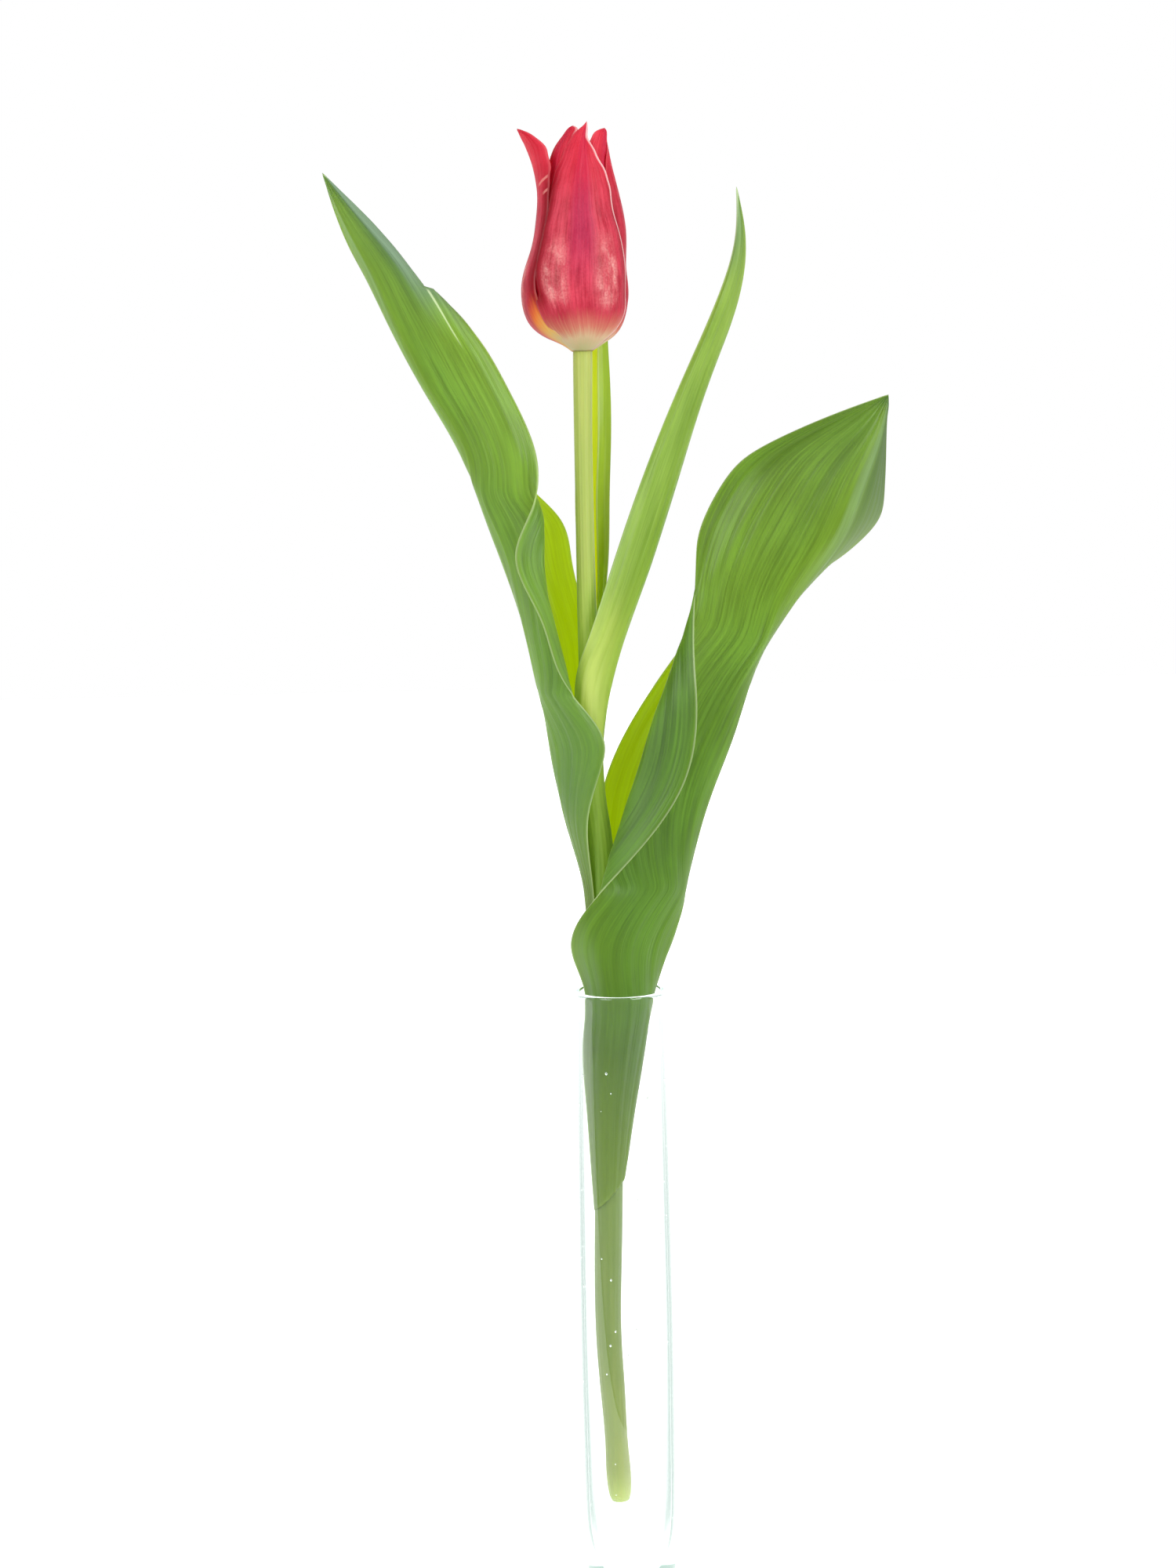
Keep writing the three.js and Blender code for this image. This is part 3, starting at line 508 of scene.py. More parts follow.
def blade_finish(
        name, deep, fresh, foot_colours, foot_length, veins, glow, translucence, sheen,
        shade_along, shade_across, keel, near_wax_and_sheen, slit=None):
    """A thin living blade: lengthwise veins, cloudy colour, a pale margin, waxy sheen and light from behind.

    The foot colours give way to the blade's own along the foot's length; on the young leaves they paint a
    glow of light from behind. From the first to the second length of its span along, it is painted darker
    and made less translucent, a painted shade that is strongest beyond the second place of its span across.
    A pale bluish bloom, partly the leaf's wax and partly a painted reflection, lies on the keel, given by
    its place across, the square of its width, the length where it starts and its strength, and beside the
    near margin in the painted shade. A slit has a pale lip, at one place across and from one length to
    another.
    """
    material, nodes = new_finish(name)
    across, along, margin = nodes.guide()
    streak = nodes.noise(nodes.vector(across * veins, along * 0.01), detail=3, roughness=0.6)
    fine = nodes.noise(nodes.vector(across * (veins * 4), along * 0.03, 4))
    cloud = nodes.noise(nodes.vector(across * 3, along * 0.04, 9), detail=4)
    half_width = margin / (1.03 - across.maths("ABSOLUTE"))
    breadth = (half_width / VEINED_HALF_WIDTH).maths("MINIMUM", 1)
    drawn = ((streak - 0.5) * 0.5 + (fine - 0.5) * 0.9) * breadth
    tone = (drawn + cloud * 0.6).rise(0, 0.6)
    # Painted shade: towards the tip, and most on one side, the blade is painted darker, rougher and less
    # translucent
    painted_shade = along.rise(*shade_along) * (0.2 + across.rise(*shade_across) * 0.8)
    colour = nodes.blend(tone * (1 - painted_shade * 0.9), deep, fresh)
    foot = nodes.ramp(along / foot_length, foot_colours)
    colour = nodes.blend(1 - (along + cloud * 60 - 30).rise(0, foot_length), colour, foot)
    # Pale bluish bloom on the keel and beside the near margin: partly the leaf's own wax, partly a painted
    # reflection of the bright surroundings at grazing angles
    place, width, start, strength = keel
    keel_wax_and_sheen = across.near(place, width / 12, width) * along.rise(start, start + 40) * strength
    wax_and_sheen = keel_wax_and_sheen.larger(painted_shade * across.rise(0.42, 0.54) * near_wax_and_sheen) * (1 + drawn * 1.5)
    colour = nodes.blend(wax_and_sheen, colour, paint(150, 176, 160))
    edge = (1 - margin.rise(0.1, 0.8)) * 0.55
    if slit:
        place, low, high = slit
        lip = across.near(place + fine * 0.04, 0.00002, 0.0002) * along.rise(low, low + 8)
        edge = edge.larger(lip * (1 - along.rise(high - 1, high + 1)) * 0.9)
    colour = nodes.blend(edge, colour, paint(206, 222, 176))
    bump = nodes.bump((streak + fine * 0.2) * breadth * breadth, 0.8, 0.0004)
    surface = nodes.add("ShaderNodeBsdfPrincipled", None, {
        "Base Color": colour,
        "Roughness": 0.3 + streak * 0.2 + painted_shade * 0.2,
        "Normal": bump,
        "Specular IOR Level": 0.6,
        "Sheen Weight": sheen,
        "Sheen Roughness": 0.35,
        "Sheen Tint": paint(225, 238, 240),
    })
    share = translucence + drawn * 0.15 - across.rise(-0.3, 0.3) * 0.16 - painted_shade * 0.25
    return end_finish(material, nodes, lit_through(nodes, share, surface, glow, bump))


def tepal_finish(name, foot_colours, middle_drop, right_drop, rim, flank_shades, scuffs=()):
    """Crimson satin, purple down the middle, with a painted highlight on the belly, over the foot's own
    colours.

    Two drops in millimetres say how far down the crimson comes: in the middle, and what the right margin
    adds. The rim there is pale, and the left and right flanks get a painted shade of deeper crimson. A scuff
    is a short pale line that climbs to the right, given by its place along at the midline and by where
    across it starts.
    """
    material, nodes = new_finish(name)
    across, along, margin = nodes.guide()
    streak = nodes.noise(nodes.vector(across * 22, along * 0.05), detail=3, roughness=0.6)
    fine = nodes.noise(nodes.vector(across * 60, along * 0.12, 5))
    cloud = nodes.noise(nodes.vector(across * 3.5, along * 0.1, 7), detail=3)
    grain = nodes.noise(nodes.place(), 1500)
    tone = (streak * 0.45 + fine * 0.35 + cloud * 0.45 + grain * 0.15).rise(0.45, 0.9)
    crimson = nodes.blend(tone, paint(162, 10, 42), paint(238, 84, 108))
    aside = across * across
    middle = (1 - aside.rise(0, 0.12)) * along.rise(20, 45)
    crimson = nodes.blend(middle * (0.25 + fine * 0.5), crimson, paint(176, 34, 96))
    crimson = nodes.blend(along.rise(48, 66) * 0.5, crimson, paint(222, 34, 62))
    sides = aside.rise(0.02, 0.14) * (1 - aside.rise(0.3, 0.56))
    # Painted highlight: pale satin patches where the softboxes shine on the belly, broken up by the grain
    belly = along.rise(16, 26) * (1 - along.rise(30, 46)) * (0.2 + cloud.rise(0.42, 0.6) * 0.8) * sides
    belly = belly * (0.75 + across.rise(-0.1, 0.1) * 0.25)
    crimson = nodes.blend(belly * (0.35 + grain.rise(0.3, 0.75) * 0.65), crimson, paint(255, 208, 198))
    # Painted shade: deeper crimson on the flanks, where they turn away or lie beside a neighbour's margin
    flank_shade = (0 - across).rise(0.6, 0.8) * flank_shades[0] + across.rise(0.74, 0.94) * flank_shades[1]
    flank_shade = flank_shade * along.rise(16, 24) * (1 - along.rise(56, 68))
    crimson = nodes.blend(flank_shade, crimson, paint(152, 0, 28))
    for place, start in scuffs:
        line = (along - across * 8).near(place, 0.05, 0.4)
        scuff = line * across.rise(start, start + 0.1) * (1 - across.rise(0.93, 0.98))
        crimson = nodes.blend(scuff * 0.7, crimson, paint(255, 168, 160))
    drop = middle_drop + aside.rise(0, 0.2) * 1.6 + across.rise(0.4, 0.9) * right_drop
    foot = (along + streak * 9 - 4.5 + drop).climb(0, 22)
    colour = nodes.blend(foot.rise(0.5, 1), nodes.ramp(foot, foot_colours), crimson)
    edge = (1 - margin.rise(0.3, 1.1)) * (0.05 + across.rise(-0.1, 0.1) * rim)
    colour = nodes.blend(edge, colour, paint(255, 214, 214))
    bump = nodes.bump(fine * 0.25 + grain, 0.35, 0.0002)
    surface = nodes.add("ShaderNodeBsdfPrincipled", None, {
        "Base Color": colour,
        "Roughness": 0.34 + grain * 0.2,
        "Normal": bump,
        "Specular IOR Level": 0.28,
    })
    glow = paint(248, 34, 52)
    return end_finish(material, nodes, lit_through(nodes, 0.35 + fine * 0.1, surface, glow, bump))


def stem_finish():
    """Smooth pale green with fine lengthwise streaks, darker where the leaves shade it."""
    material, nodes = new_finish("stem_green")
    place = nodes.place()
    height = nodes.split(place)[2]
    drawn = nodes.add("ShaderNodeMapping", None, {"Vector": place, "Scale": (1, 1, 0.04)})
    streak = nodes.noise(drawn, 900, detail=3)
    cloud = nodes.noise(drawn, 160)
    colour = nodes.ramp(height.climb(0.041, 0.433), [
        [0, 170, 182, 88], [0.03, 136, 148, 58], [0.15, 116, 134, 54],
        [0.3, 110, 134, 52], [0.5, 118, 158, 46], [0.64, 154, 188, 60],
        [0.74, 170, 198, 74], [0.82, 164, 180, 84], [1, 168, 178, 86],
    ])
    tone = (streak * 0.6 + cloud * 0.5).rise(0.35, 0.8)
    shade = nodes.add("ShaderNodeMix", {"data_type": "RGBA", "blend_type": "MULTIPLY"}, {
        0: 1,
        6: colour,
        7: nodes.blend(tone, (0.84, 0.9, 0.8, 1), (1.06, 1.04, 1.04, 1)),
    }, output=2)
    surface = nodes.add("ShaderNodeBsdfPrincipled", None, {
        "Base Color": shade,
        "Roughness": 0.4 + cloud * 0.2,
        "Normal": nodes.bump(streak, 0.25, 0.0002),
        "Sheen Weight": 0.2,
        "Subsurface Weight": 0.25,
        "Subsurface Radius": (0.6, 1, 0.25),
        "Subsurface Scale": 0.002,
    })
    return end_finish(material, nodes, surface)


def floret_finish(name, low, high, grain, roughness):
    """A small flower part: two mottled colours and a grainy surface."""
    material, nodes = new_finish(name)
    mottle = nodes.noise(nodes.place(), grain, detail=3)
    surface = nodes.add("ShaderNodeBsdfPrincipled", None, {
        "Base Color": nodes.blend(mottle.rise(0.35, 0.65), low, high),
        "Roughness": roughness + mottle * 0.2,
        "Normal": nodes.bump(mottle, 0.5, 0.0002),
    })
    return end_finish(material, nodes, surface)


# Geometry Nodes trees

def new_tree(name, inputs):
    """An empty tree that takes a piece's own shape and named values, with a wire for each of them."""
    tree = bpy.data.node_groups.new(name, "GeometryNodeTree")
    for label, kind in {"Geometry": "Geometry", **inputs}.items():
        tree.interface.new_socket(label, in_out="INPUT", socket_type="NodeSocket" + kind)
    tree.interface.new_socket("Geometry", in_out="OUTPUT", socket_type="NodeSocketGeometry")
    nodes = Nodes(tree)
    wires = nodes.outputs(nodes.add("NodeGroupInput"), "Geometry", *inputs)
    return tree, nodes, wires


def end_tree(nodes, shape, finish):
    """Ends a tree in real faces that wear the finish."""
    real = nodes.add("GeometryNodeRealizeInstances", None, {0: shape})
    worn = nodes.add("GeometryNodeSetMaterial", None, {"Geometry": real, "Material": finish})
    nodes.add("NodeGroupOutput", None, {0: worn})


def stalk_tree():
    """Sweeps a round section along a path. The path's points carry the radius and how deep the lobes are."""
    inputs = {"Sides": "Int", "Lobes": "Int", "Ribs": "Int", "Rib depth": "Float", "Finish": "Material"}
    tree, nodes, wires = new_tree("stalk", inputs)
    path, sides, lobes, ribs, rib_depth, finish = wires
    position = nodes.add("GeometryNodeInputPosition")
    radius = nodes.read("girth")
    course = nodes.add("GeometryNodeMeshToCurve", None, {0: path})
    course = nodes.store(course, "centre", position, "FLOAT_VECTOR")
    section = nodes.add("GeometryNodeCurvePrimitiveCircle", None, {"Resolution": sides, "Radius": 1})
    section = nodes.store(section, "round", nodes.add("GeometryNodeSplineParameter"))
    swept = nodes.add("GeometryNodeCurveToMesh", None, {
        "Curve": course,
        "Profile Curve": section,
        "Scale": radius,
        "Fill Caps": True,
    })
    spoke = nodes.add("ShaderNodeVectorMath", {"operation": "SUBTRACT"}, {
        0: position,
        1: nodes.read("centre", "FLOAT_VECTOR"),
    })
    turn = nodes.read("round") * (2 * math.pi)
    lobe = (turn * lobes).maths("COSINE")
    rib = (turn * ribs).maths("COSINE")
    swell = nodes.read("lobing") * lobe + rib_depth / radius * rib
    shaped = nodes.moved(swept, nodes.scaled(spoke, swell))
    end_tree(nodes, shaped, finish)
    return tree


def tube_tree():
    """Turns an outline round the upright axis, closes it there, and strews seeds of air through its wall."""
    tree, nodes, wires = new_tree("blown_tube", {
        "Sides": "Int", "Turning radius": "Float", "Wall": "Float",
        "Lowest seed": "Float", "Highest seed": "Float", "Seed spacing": "Float",
        "Seed radius": "Float", "Random seed": "Int", "Finish": "Material",
    })
    outline, sides, turning, wall, lowest, highest, spacing, seed_radius, random_seed, finish = wires
    circle = nodes.add("GeometryNodeCurvePrimitiveCircle", None, {"Resolution": sides, "Radius": turning})
    profile = nodes.add("GeometryNodeMeshToCurve", None, {0: outline})
    turned = nodes.add("GeometryNodeCurveToMesh", None, {"Curve": circle, "Profile Curve": profile})
    closed = nodes.add("GeometryNodeMergeByDistance", None, {"Geometry": turned, "Distance": 0.00001})
    x, y, z = nodes.split(nodes.add("GeometryNodeInputPosition"))
    facing = nodes.add("ShaderNodeVectorMath", {"operation": "DOT_PRODUCT"}, {
        0: nodes.add("GeometryNodeInputNormal"),
        1: nodes.vector(x, y),
    }, output="Value")
    scatter = nodes.add("GeometryNodeDistributePointsOnFaces", {"distribute_method": "POISSON"}, {
        "Mesh": closed,
        "Selection": (facing > 0) * ((z > lowest) * (z < highest)),
        "Distance Min": spacing,
        "Density Max": 0.3 / (spacing * spacing),
        "Seed": random_seed,
    })
    wall_normal = nodes.outputs(scatter, "Normal")[0]
    sunk = nodes.moved(scatter, nodes.scaled(wall_normal, wall * -0.5))
    bubble = nodes.add("GeometryNodeMeshIcoSphere", None, {"Radius": seed_radius, "Subdivisions": 2})
    size = nodes.add("FunctionNodeRandomValue", {"data_type": "FLOAT"}, {
        2: 0.45,
        3: 1.3,
        "Seed": random_seed,
    }, output=1)
    seeds = nodes.add("GeometryNodeInstanceOnPoints", None, {
        "Points": sunk,
        "Instance": nodes.add("GeometryNodeFlipFaces", None, {0: bubble}),
        "Scale": nodes.vector(size, size, size * 1.5),
    })
    whole = nodes.add("GeometryNodeJoinGeometry", None, {0: seeds})
    nodes.tree.links.new(closed.socket, whole.socket.node.inputs[0])
    end_tree(nodes, whole, finish)
    return tree


def grown_by(tree, name, points, carried, sizes):
    """A piece whose mesh is what a tree makes of a chain of points in millimetres that carry values."""
    chain = bpy.data.meshes.new(name)
    chain.from_pydata((np.array(points) * MM).tolist(), [(i, i + 1) for i in range(len(points) - 1)], [])
    for label, values in carried.items():
        chain.attributes.new(label, "FLOAT", "POINT").data.foreach_set("value", values)
    piece = bpy.data.objects.new(name, chain)
    bpy.context.collection.objects.link(piece)
    modifier = piece.modifiers.new(tree.name, "NODES")
    modifier.node_group = tree
    for item in tree.interface.items_tree:
        if item.name in sizes:
            modifier[item.identifier] = sizes[item.name]
    grown = bpy.data.meshes.new_from_object(piece.evaluated_get(bpy.context.evaluated_depsgraph_get()))
    piece.modifiers.remove(modifier)
    piece.data = grown
    bpy.data.meshes.remove(chain)
    grown.name = name
    grown.shade_smooth()
    return piece


# Pieces

def make_vase(tree, finish):
    base, mouth, top = VASE_BASE_RADIUS, VASE_MOUTH_RADIUS, VASE_HEIGHT
    lip = mouth - LIP_WIDTH
    outer = [
        [base, 0],
        [base + 1.1, 0.7],
        [base + 1.5, 2.5],
        [15.3, 20],
        *VASE_BARREL,
        [mouth, top - 12],
        [mouth - 0.08, top - 6.5],
        [mouth, top - 2.8],
        *[[mouth - inward, top - below] for inward, below in LIP_ROUNDING],
        [mouth - LIP_WIDTH / 2, top],
    ]
    inner = [
        *[[lip + inward, top - below] for inward, below in reversed(LIP_ROUNDING)],
        [lip + 0.1, top - 4],
        [mouth - VASE_WALL, top - 10],
        *[[radius - VASE_WALL, height] for radius, height in reversed(VASE_BARREL)],
        *VASE_WELL,
    ]
    wall = np.array(outer + inner)
    marks = lengths_along(wall, 0.5)
    curve = spline_through(marks, wall)(np.linspace(0, marks[-1], VASE_STEPS))
    outline = np.concatenate([[[0, 0], [base - VASE_BASE_EDGE, 0]], curve])
    outline[:, 0] = np.maximum(outline[:, 0], 0)
    outline[-1] = inner[-1]
    points = [[radius - TURNING_RADIUS, -height, 0] for radius, height in outline[::-1]]
    return grown_by(tree, "tube_vase", points, {}, {
        "Sides": VASE_SIDES,
        "Turning radius": TURNING_RADIUS * MM,
        "Wall": VASE_WALL * MM,
        "Lowest seed": LOWEST_SEED * MM,
        "Highest seed": HIGHEST_SEED * MM,
        "Seed spacing": SEED_SPACING * MM,
        "Seed radius": SEED_RADIUS * MM,
        "Random seed": SEED_DRAW,
        "Finish": finish,
    })


def make_stalk(tree, name, course, finish, sides, lobes=0, ribs=0, rib_depth=0.0):
    """A stalk through the rows of a course: x, y, z, radius and lobing."""
    course = np.asarray(course, float)
    carried = {"girth": course[:, 3] * MM, "lobing": course[:, 4]}
    return grown_by(tree, name, course[:, :3], carried, {
        "Sides": sides,
        "Lobes": lobes,
        "Ribs": ribs,
        "Rib depth": rib_depth * MM,
        "Finish": finish,
    })


def make_stem(tree, finish):
    course = np.array(STEM_COURSE, float)
    x, z, radius = course[0]
    cut = [[x, z, radius - 0.9], [x, z + 0.25, radius - 0.25]]
    heights = np.linspace(course[1, 1], course[-1, 1], STEM_STEPS)
    stalk = spline_through(course[:, 1], course)(heights)
    seat = [[SEAT_X, z, radius] for z, radius in SEAT_COURSE]
    rows = [[x, 0, z, radius, 0] for x, z, radius in (*cut, *stalk, *seat)]
    return make_stalk(tree, "flower_stem", rows, finish, STEM_SIDES, 0, STEM_RIBS, STEM_RIB_DEPTH)


def make_floret(tree, name, rings, foot_radius, angle, finish, sides, lobes):
    """A pistil or a stamen, with its foot at a radius and an angle from the middle of the disc."""
    rings = np.array(rings, float)
    rows = spline_through(rings[:, 0], rings)(np.linspace(0, rings[-1, 0], RING_STEPS))
    course = []
    for up, out, radius, lobing in rows:
        reach = foot_radius + out
        x = SEAT_X + reach * math.cos(angle)
        y = reach * math.sin(angle)
        course.append([x, y, DISC_TOP_Z + DISC_CLEARANCE + up, radius, max(0, lobing)])
    return make_stalk(tree, name, course, finish, sides, lobes)


def make_blade(name, middle, tip, thickness, guide, tip_guide, finish):
    """A closed thin sheet about rows of middle points, from foot to tip. Each point carries its guide."""
    rows, columns = middle.shape[:2]
    offset = unit_normals(middle) * thickness[..., None] / 2
    vertices = np.concatenate([(middle + offset).reshape(-1, 3), (middle - offset).reshape(-1, 3), [tip]])
    front = np.arange(rows * columns).reshape(rows, columns)
    back = front + rows * columns
    point = len(vertices) - 1
    faces = []
    for sheet, order in ((front, (0, 1, 2, 3)), (back, (3, 2, 1, 0))):
        corners = [sheet[:-1, :-1], sheet[:-1, 1:], sheet[1:, 1:], sheet[1:, :-1]]
        faces += np.stack([corners[k].ravel() for k in order], axis=1).tolist()
    for edge, other in ((front[:, 0], back[:, 0]), (back[:, -1], front[:, -1])):
        faces += np.stack([edge[:-1], edge[1:], other[1:], other[:-1]], axis=1).tolist()
    faces += np.stack([front[0, 1:], front[0, :-1], back[0, :-1], back[0, 1:]], axis=1).tolist()
    faces += [[a, b, point] for a, b in zip(front[-1, :-1].tolist(), front[-1, 1:].tolist())]
    faces += [[b, a, point] for a, b in zip(back[-1, :-1].tolist(), back[-1, 1:].tolist())]
    faces += [[int(front[-1, 0]), point, int(back[-1, 0])], [point, int(front[-1, -1]), int(back[-1, -1])]]
    mesh = bpy.data.meshes.new(name)
    mesh.from_pydata((vertices * MM).tolist(), [], faces)
    flat_guide = guide.reshape(-1, 3)
    guides = np.concatenate([flat_guide, flat_guide, [tip_guide]])
    mesh.attributes.new(GUIDE, "FLOAT_VECTOR", "POINT").data.foreach_set("vector", guides.ravel())
    mesh.materials.append(finish)
    mesh.shade_smooth()
    piece = bpy.data.objects.new(name, mesh)
    bpy.context.collection.objects.link(piece)
    return piece


def unit_normals(rows):
    """The normal of a sheet at each of its rows' points."""
    normal = np.cross(np.gradient(rows, axis=1), np.gradient(rows, axis=0))
    return normal / np.linalg.norm(normal, axis=2, keepdims=True)


def make_leaf(leaf, finish):
    """The blade through a leaf's stations, with shallow lengthwise ribs and a thinner margin."""
    stations = np.array([np.broadcast_arrays(*station) for station in leaf["stations"]], float)
    stations = stations.transpose(0, 2, 1)
    tip = np.array(leaf["tip"], float)
    rows, columns = leaf["rows"], leaf["columns"]
    rails = [np.concatenate([stations[:, k], [tip]]) for k in range(6)]
    knots = lengths_along(rails[KEEL_POINT])
    places = knots[-1] * np.arange(rows) / rows
    sections = np.stack([spline_through(knots, rail)(places) for rail in rails], axis=1)
    spans = np.arange(columns + 1) * 5 / columns
    middle = np.empty((rows, columns + 1, 3))
    guide = np.empty((rows, columns + 1, 3))
    for i, section in enumerate(sections):
        marks = lengths_along(section, 0.5)
        middle[i] = spline_through(marks, section)(np.interp(spans, np.arange(6), marks))
        reach = lengths_along(middle[i])
        guide[i, :, 0] = 2 * reach / reach[-1] - 1
        guide[i, :, 1] = places[i]
        guide[i, :, 2] = np.minimum(reach, reach[-1] - reach)
    share, along, margin = guide[..., 0], guide[..., 1], guide[..., 2]
    if "tear" in leaf:
        low, high, depth = leaf["tear"]
        flap = smoothstep((along - low) / (high - low)) * (along < high)
        rest = smoothstep((high + 16 - along) / 16) * (along >= high)
        middle[..., 0] += depth * flap * smoothstep((share - 0.62) / 0.12)
        middle[..., 0] -= depth * rest * smoothstep((share - 0.5) / 0.5)
    phase = math.pi * leaf["ribs"] * share + 1.4 * np.sin(along / 37)
    ribs = LEAF_RIB_DEPTH * np.cos(phase) + LEAF_FINE_RIB_DEPTH * np.cos(1.7 * phase + 2)
    dents = LEAF_DENT_DEPTH * np.sin(along / 13 + 2.5 * share) * np.cos(3 * share - along / 29)
    middle += unit_normals(middle) * ((ribs + dents) * smoothstep(margin / 3))[..., None]
    full = LEAF_THICKNESS - LEAF_MARGIN_THICKNESS
    thickness = LEAF_MARGIN_THICKNESS + full * smoothstep(margin / 4)
    thickness = thickness * (0.3 + 0.7 * smoothstep(along / 9))
    return make_blade(leaf["name"] + "_blade", middle, tip, thickness, guide, [0, knots[-1], 0], finish)


def make_tepal(tepal, finish):
    """One petal of the cup, ribbed and grooved lengthwise, with waved margins."""
    stations = np.column_stack([tepal["up"], tepal["out"], tepal["left"], tepal["right"]]).astype(float)
    knots = lengths_along(stations[:, :2])
    places = knots[-1] * np.arange(TEPAL_ROWS + 1) / TEPAL_ROWS
    up, out, left, right = spline_through(knots, stations)(places).T[:, :, None]
    height = tepal["up"][-1]
    across = np.linspace(-1, 1, TEPAL_COLUMNS + 1)[None, :]
    far = np.abs(across)
    turn = tepal["turn"]
    frill = 0.2 * np.sin(0.9 * up + turn) * smoothstep((up - 46) / 12) + 0.15 * np.sin(0.5 * up + 2 * turn)
    half = np.maximum(np.where(across < 0, left, right) + frill * smoothstep((height - up) / 4), 0)
    tucks = [low + (high - low) * smoothstep((up - 13) / 6) for low, high in tepal.get("tuck", UNTUCKED)]
    drawn = np.where(across < 0, *tucks) * smoothstep((far - 0.72) / 0.28)
    drawn = drawn * smoothstep((up - 3) / 7) * smoothstep((64 - up) / 14)
    margin = (1 - far) * half
    ribs = 0.05 * np.cos(across * 40) + 0.03 * np.cos(across * 67 + 1)
    groove = TEPAL_GROOVE_DEPTH * np.exp(-((across / 0.07) ** 2)) * smoothstep(up / 20)
    wave = TEPAL_WAVE_DEPTH * np.sin(up / 4.1 + turn) * smoothstep((far - 0.6) / 0.4)
    wave = wave * smoothstep((up - 8) / 12)
    radius = out - drawn + (ribs - groove) * smoothstep(margin / 3) + wave
    share = np.maximum(0, (up - tepal["lean_from"]) / (height - tepal["lean_from"])) ** 2
    angle = np.radians(turn + tepal.get("twist", 0) * share) + across * half / out
    lean_x, lean_y, lean_z = tepal["lean"]
    shift = BELLY_SHIFT_X * smoothstep(up / 16) + CROWN_SHIFT_X * smoothstep((up - 18) / 22)
    x = SEAT_X + shift + radius * np.sin(angle) + lean_x * share
    y = -radius * np.cos(angle) + lean_y * share
    z = FLOWER_FOOT_Z + up + lean_z * share + 0 * across
    middle = np.stack([x, y, z], axis=-1)
    guide = np.stack(np.broadcast_arrays(across, places[:, None], margin), axis=-1)
    full = TEPAL_THICKNESS - TEPAL_MARGIN_THICKNESS
    thickness = TEPAL_MARGIN_THICKNESS + full * smoothstep(margin / 3)
    tip = middle[-1, TEPAL_COLUMNS // 2]
    name = tepal["name"] + "_petal"
    return make_blade(name, middle[:-1], tip, thickness[:-1], guide[:-1], [0, places[-1], 0], finish)


# Stage

def turned_in_glass(nodes, x, y):
    """How much light a glass has turned aside: all that met few faces, and some from just off the back."""
    clear, depth = nodes.ray("Is Transmission Ray", "Ray Depth")
    aside = x * x / (x * x + y * y + 0.0001)
    back = (1 - aside.rise(0.2, 0.4)) * y.rise(0, 0.1)
    return clear * aside.rise(0.01, 0.15) * (depth < FEW_FACES).larger(back)


def make_floor():
    """A pale floor, so bright that it runs into the background, but dimmer where glass turns light aside."""
    material, nodes = new_finish("pale_floor")
    x, y = nodes.split(nodes.place())[:2]
    dim = turned_in_glass(nodes, x, y) * (1 - (x * x + y * y).rise(0, 1.5) * 0.6)
    surface = nodes.add("ShaderNodeBsdfPrincipled", None, {
        "Base Color": nodes.blend(dim, (0.8, 0.8, 0.8, 1), (0.1, 0.14, 0.125, 1)),
        "Roughness": 0.9,
        "Specular IOR Level": 0,
        "Emission Color": nodes.blend(dim, (1, 1, 1, 1), (0.3, 0.42, 0.38, 1)),
        "Emission Strength": 0.75,
    })
    side = FLOOR_SIDE
    corners = [(-side, FLOOR_FRONT_Y), (side, FLOOR_FRONT_Y), (side, side), (-side, side)]
    mesh = bpy.data.meshes.new("floor")
    mesh.from_pydata([(x, y, FLOOR_Z) for x, y in corners], [], [(0, 1, 2, 3)])
    mesh.materials.append(end_finish(material, nodes, surface))
    floor = bpy.data.objects.new("floor", mesh)
    bpy.context.collection.objects.link(floor)


def light_the_stage():
    """A white backdrop, brightest behind, dimmer sides for the glass, and a softbox at each front side."""
    world = bpy.data.worlds.new("white_studio")
    bpy.context.scene.world = world
    world.use_nodes = True
    world.node_tree.nodes.clear()
    nodes = Nodes(world.node_tree)
    x, y, z = nodes.split(nodes.add("ShaderNodeTexCoord", output="Generated"))
    behind = y.rise(0.25, 0.95)
    seen, soft, clear, sharp, passed = nodes.ray(
        "Is Camera Ray", "Is Diffuse Ray", "Is Transmission Ray", "Is Singular Ray", "Transparent Depth")
    bent = clear * (1 - soft) * (1 - turned_in_glass(nodes, x, y) * 0.5) * (1 - z.rise(0.2, 0.7) * 0.5)
    late = sharp * (passed > 0.5) * 0.75
    plain = seen.larger(bent.larger(late))
    mirrored = 0.04 + y.rise(0.7, 1) * 0.5 + z.rise(0.2, 0.8) * 0.35
    glossy = sharp * mirrored + (1 - sharp) * (0.12 + behind * 0.9 + (x * x).rise(0.3, 0.9) * 0.15)
    level = soft * (0.75 + behind * 1.3) + (1 - soft) * (1 - clear) * glossy
    strength = plain + (1 - plain) * level
    backdrop = nodes.add("ShaderNodeBackground", None, {"Color": (1, 1, 1, 1), "Strength": strength})
    nodes.add("ShaderNodeOutputWorld", None, {"Surface": backdrop})
    for name, (place, power) in SOFTBOXES.items():
        lamp = bpy.data.lights.new(name, "AREA")
        lamp.shape = "RECTANGLE"
        lamp.size = SOFTBOX_WIDTH
        lamp.size_y = SOFTBOX_HEIGHT
        lamp.energy = power
        box = bpy.data.objects.new(name, lamp)
        turn = (Vector(place) - Vector(LIT_POINT)).to_track_quat("Z", "Y")
        box.matrix_world = Matrix.Translation(place) @ turn.to_matrix().to_4x4()
        bpy.context.collection.objects.link(box)


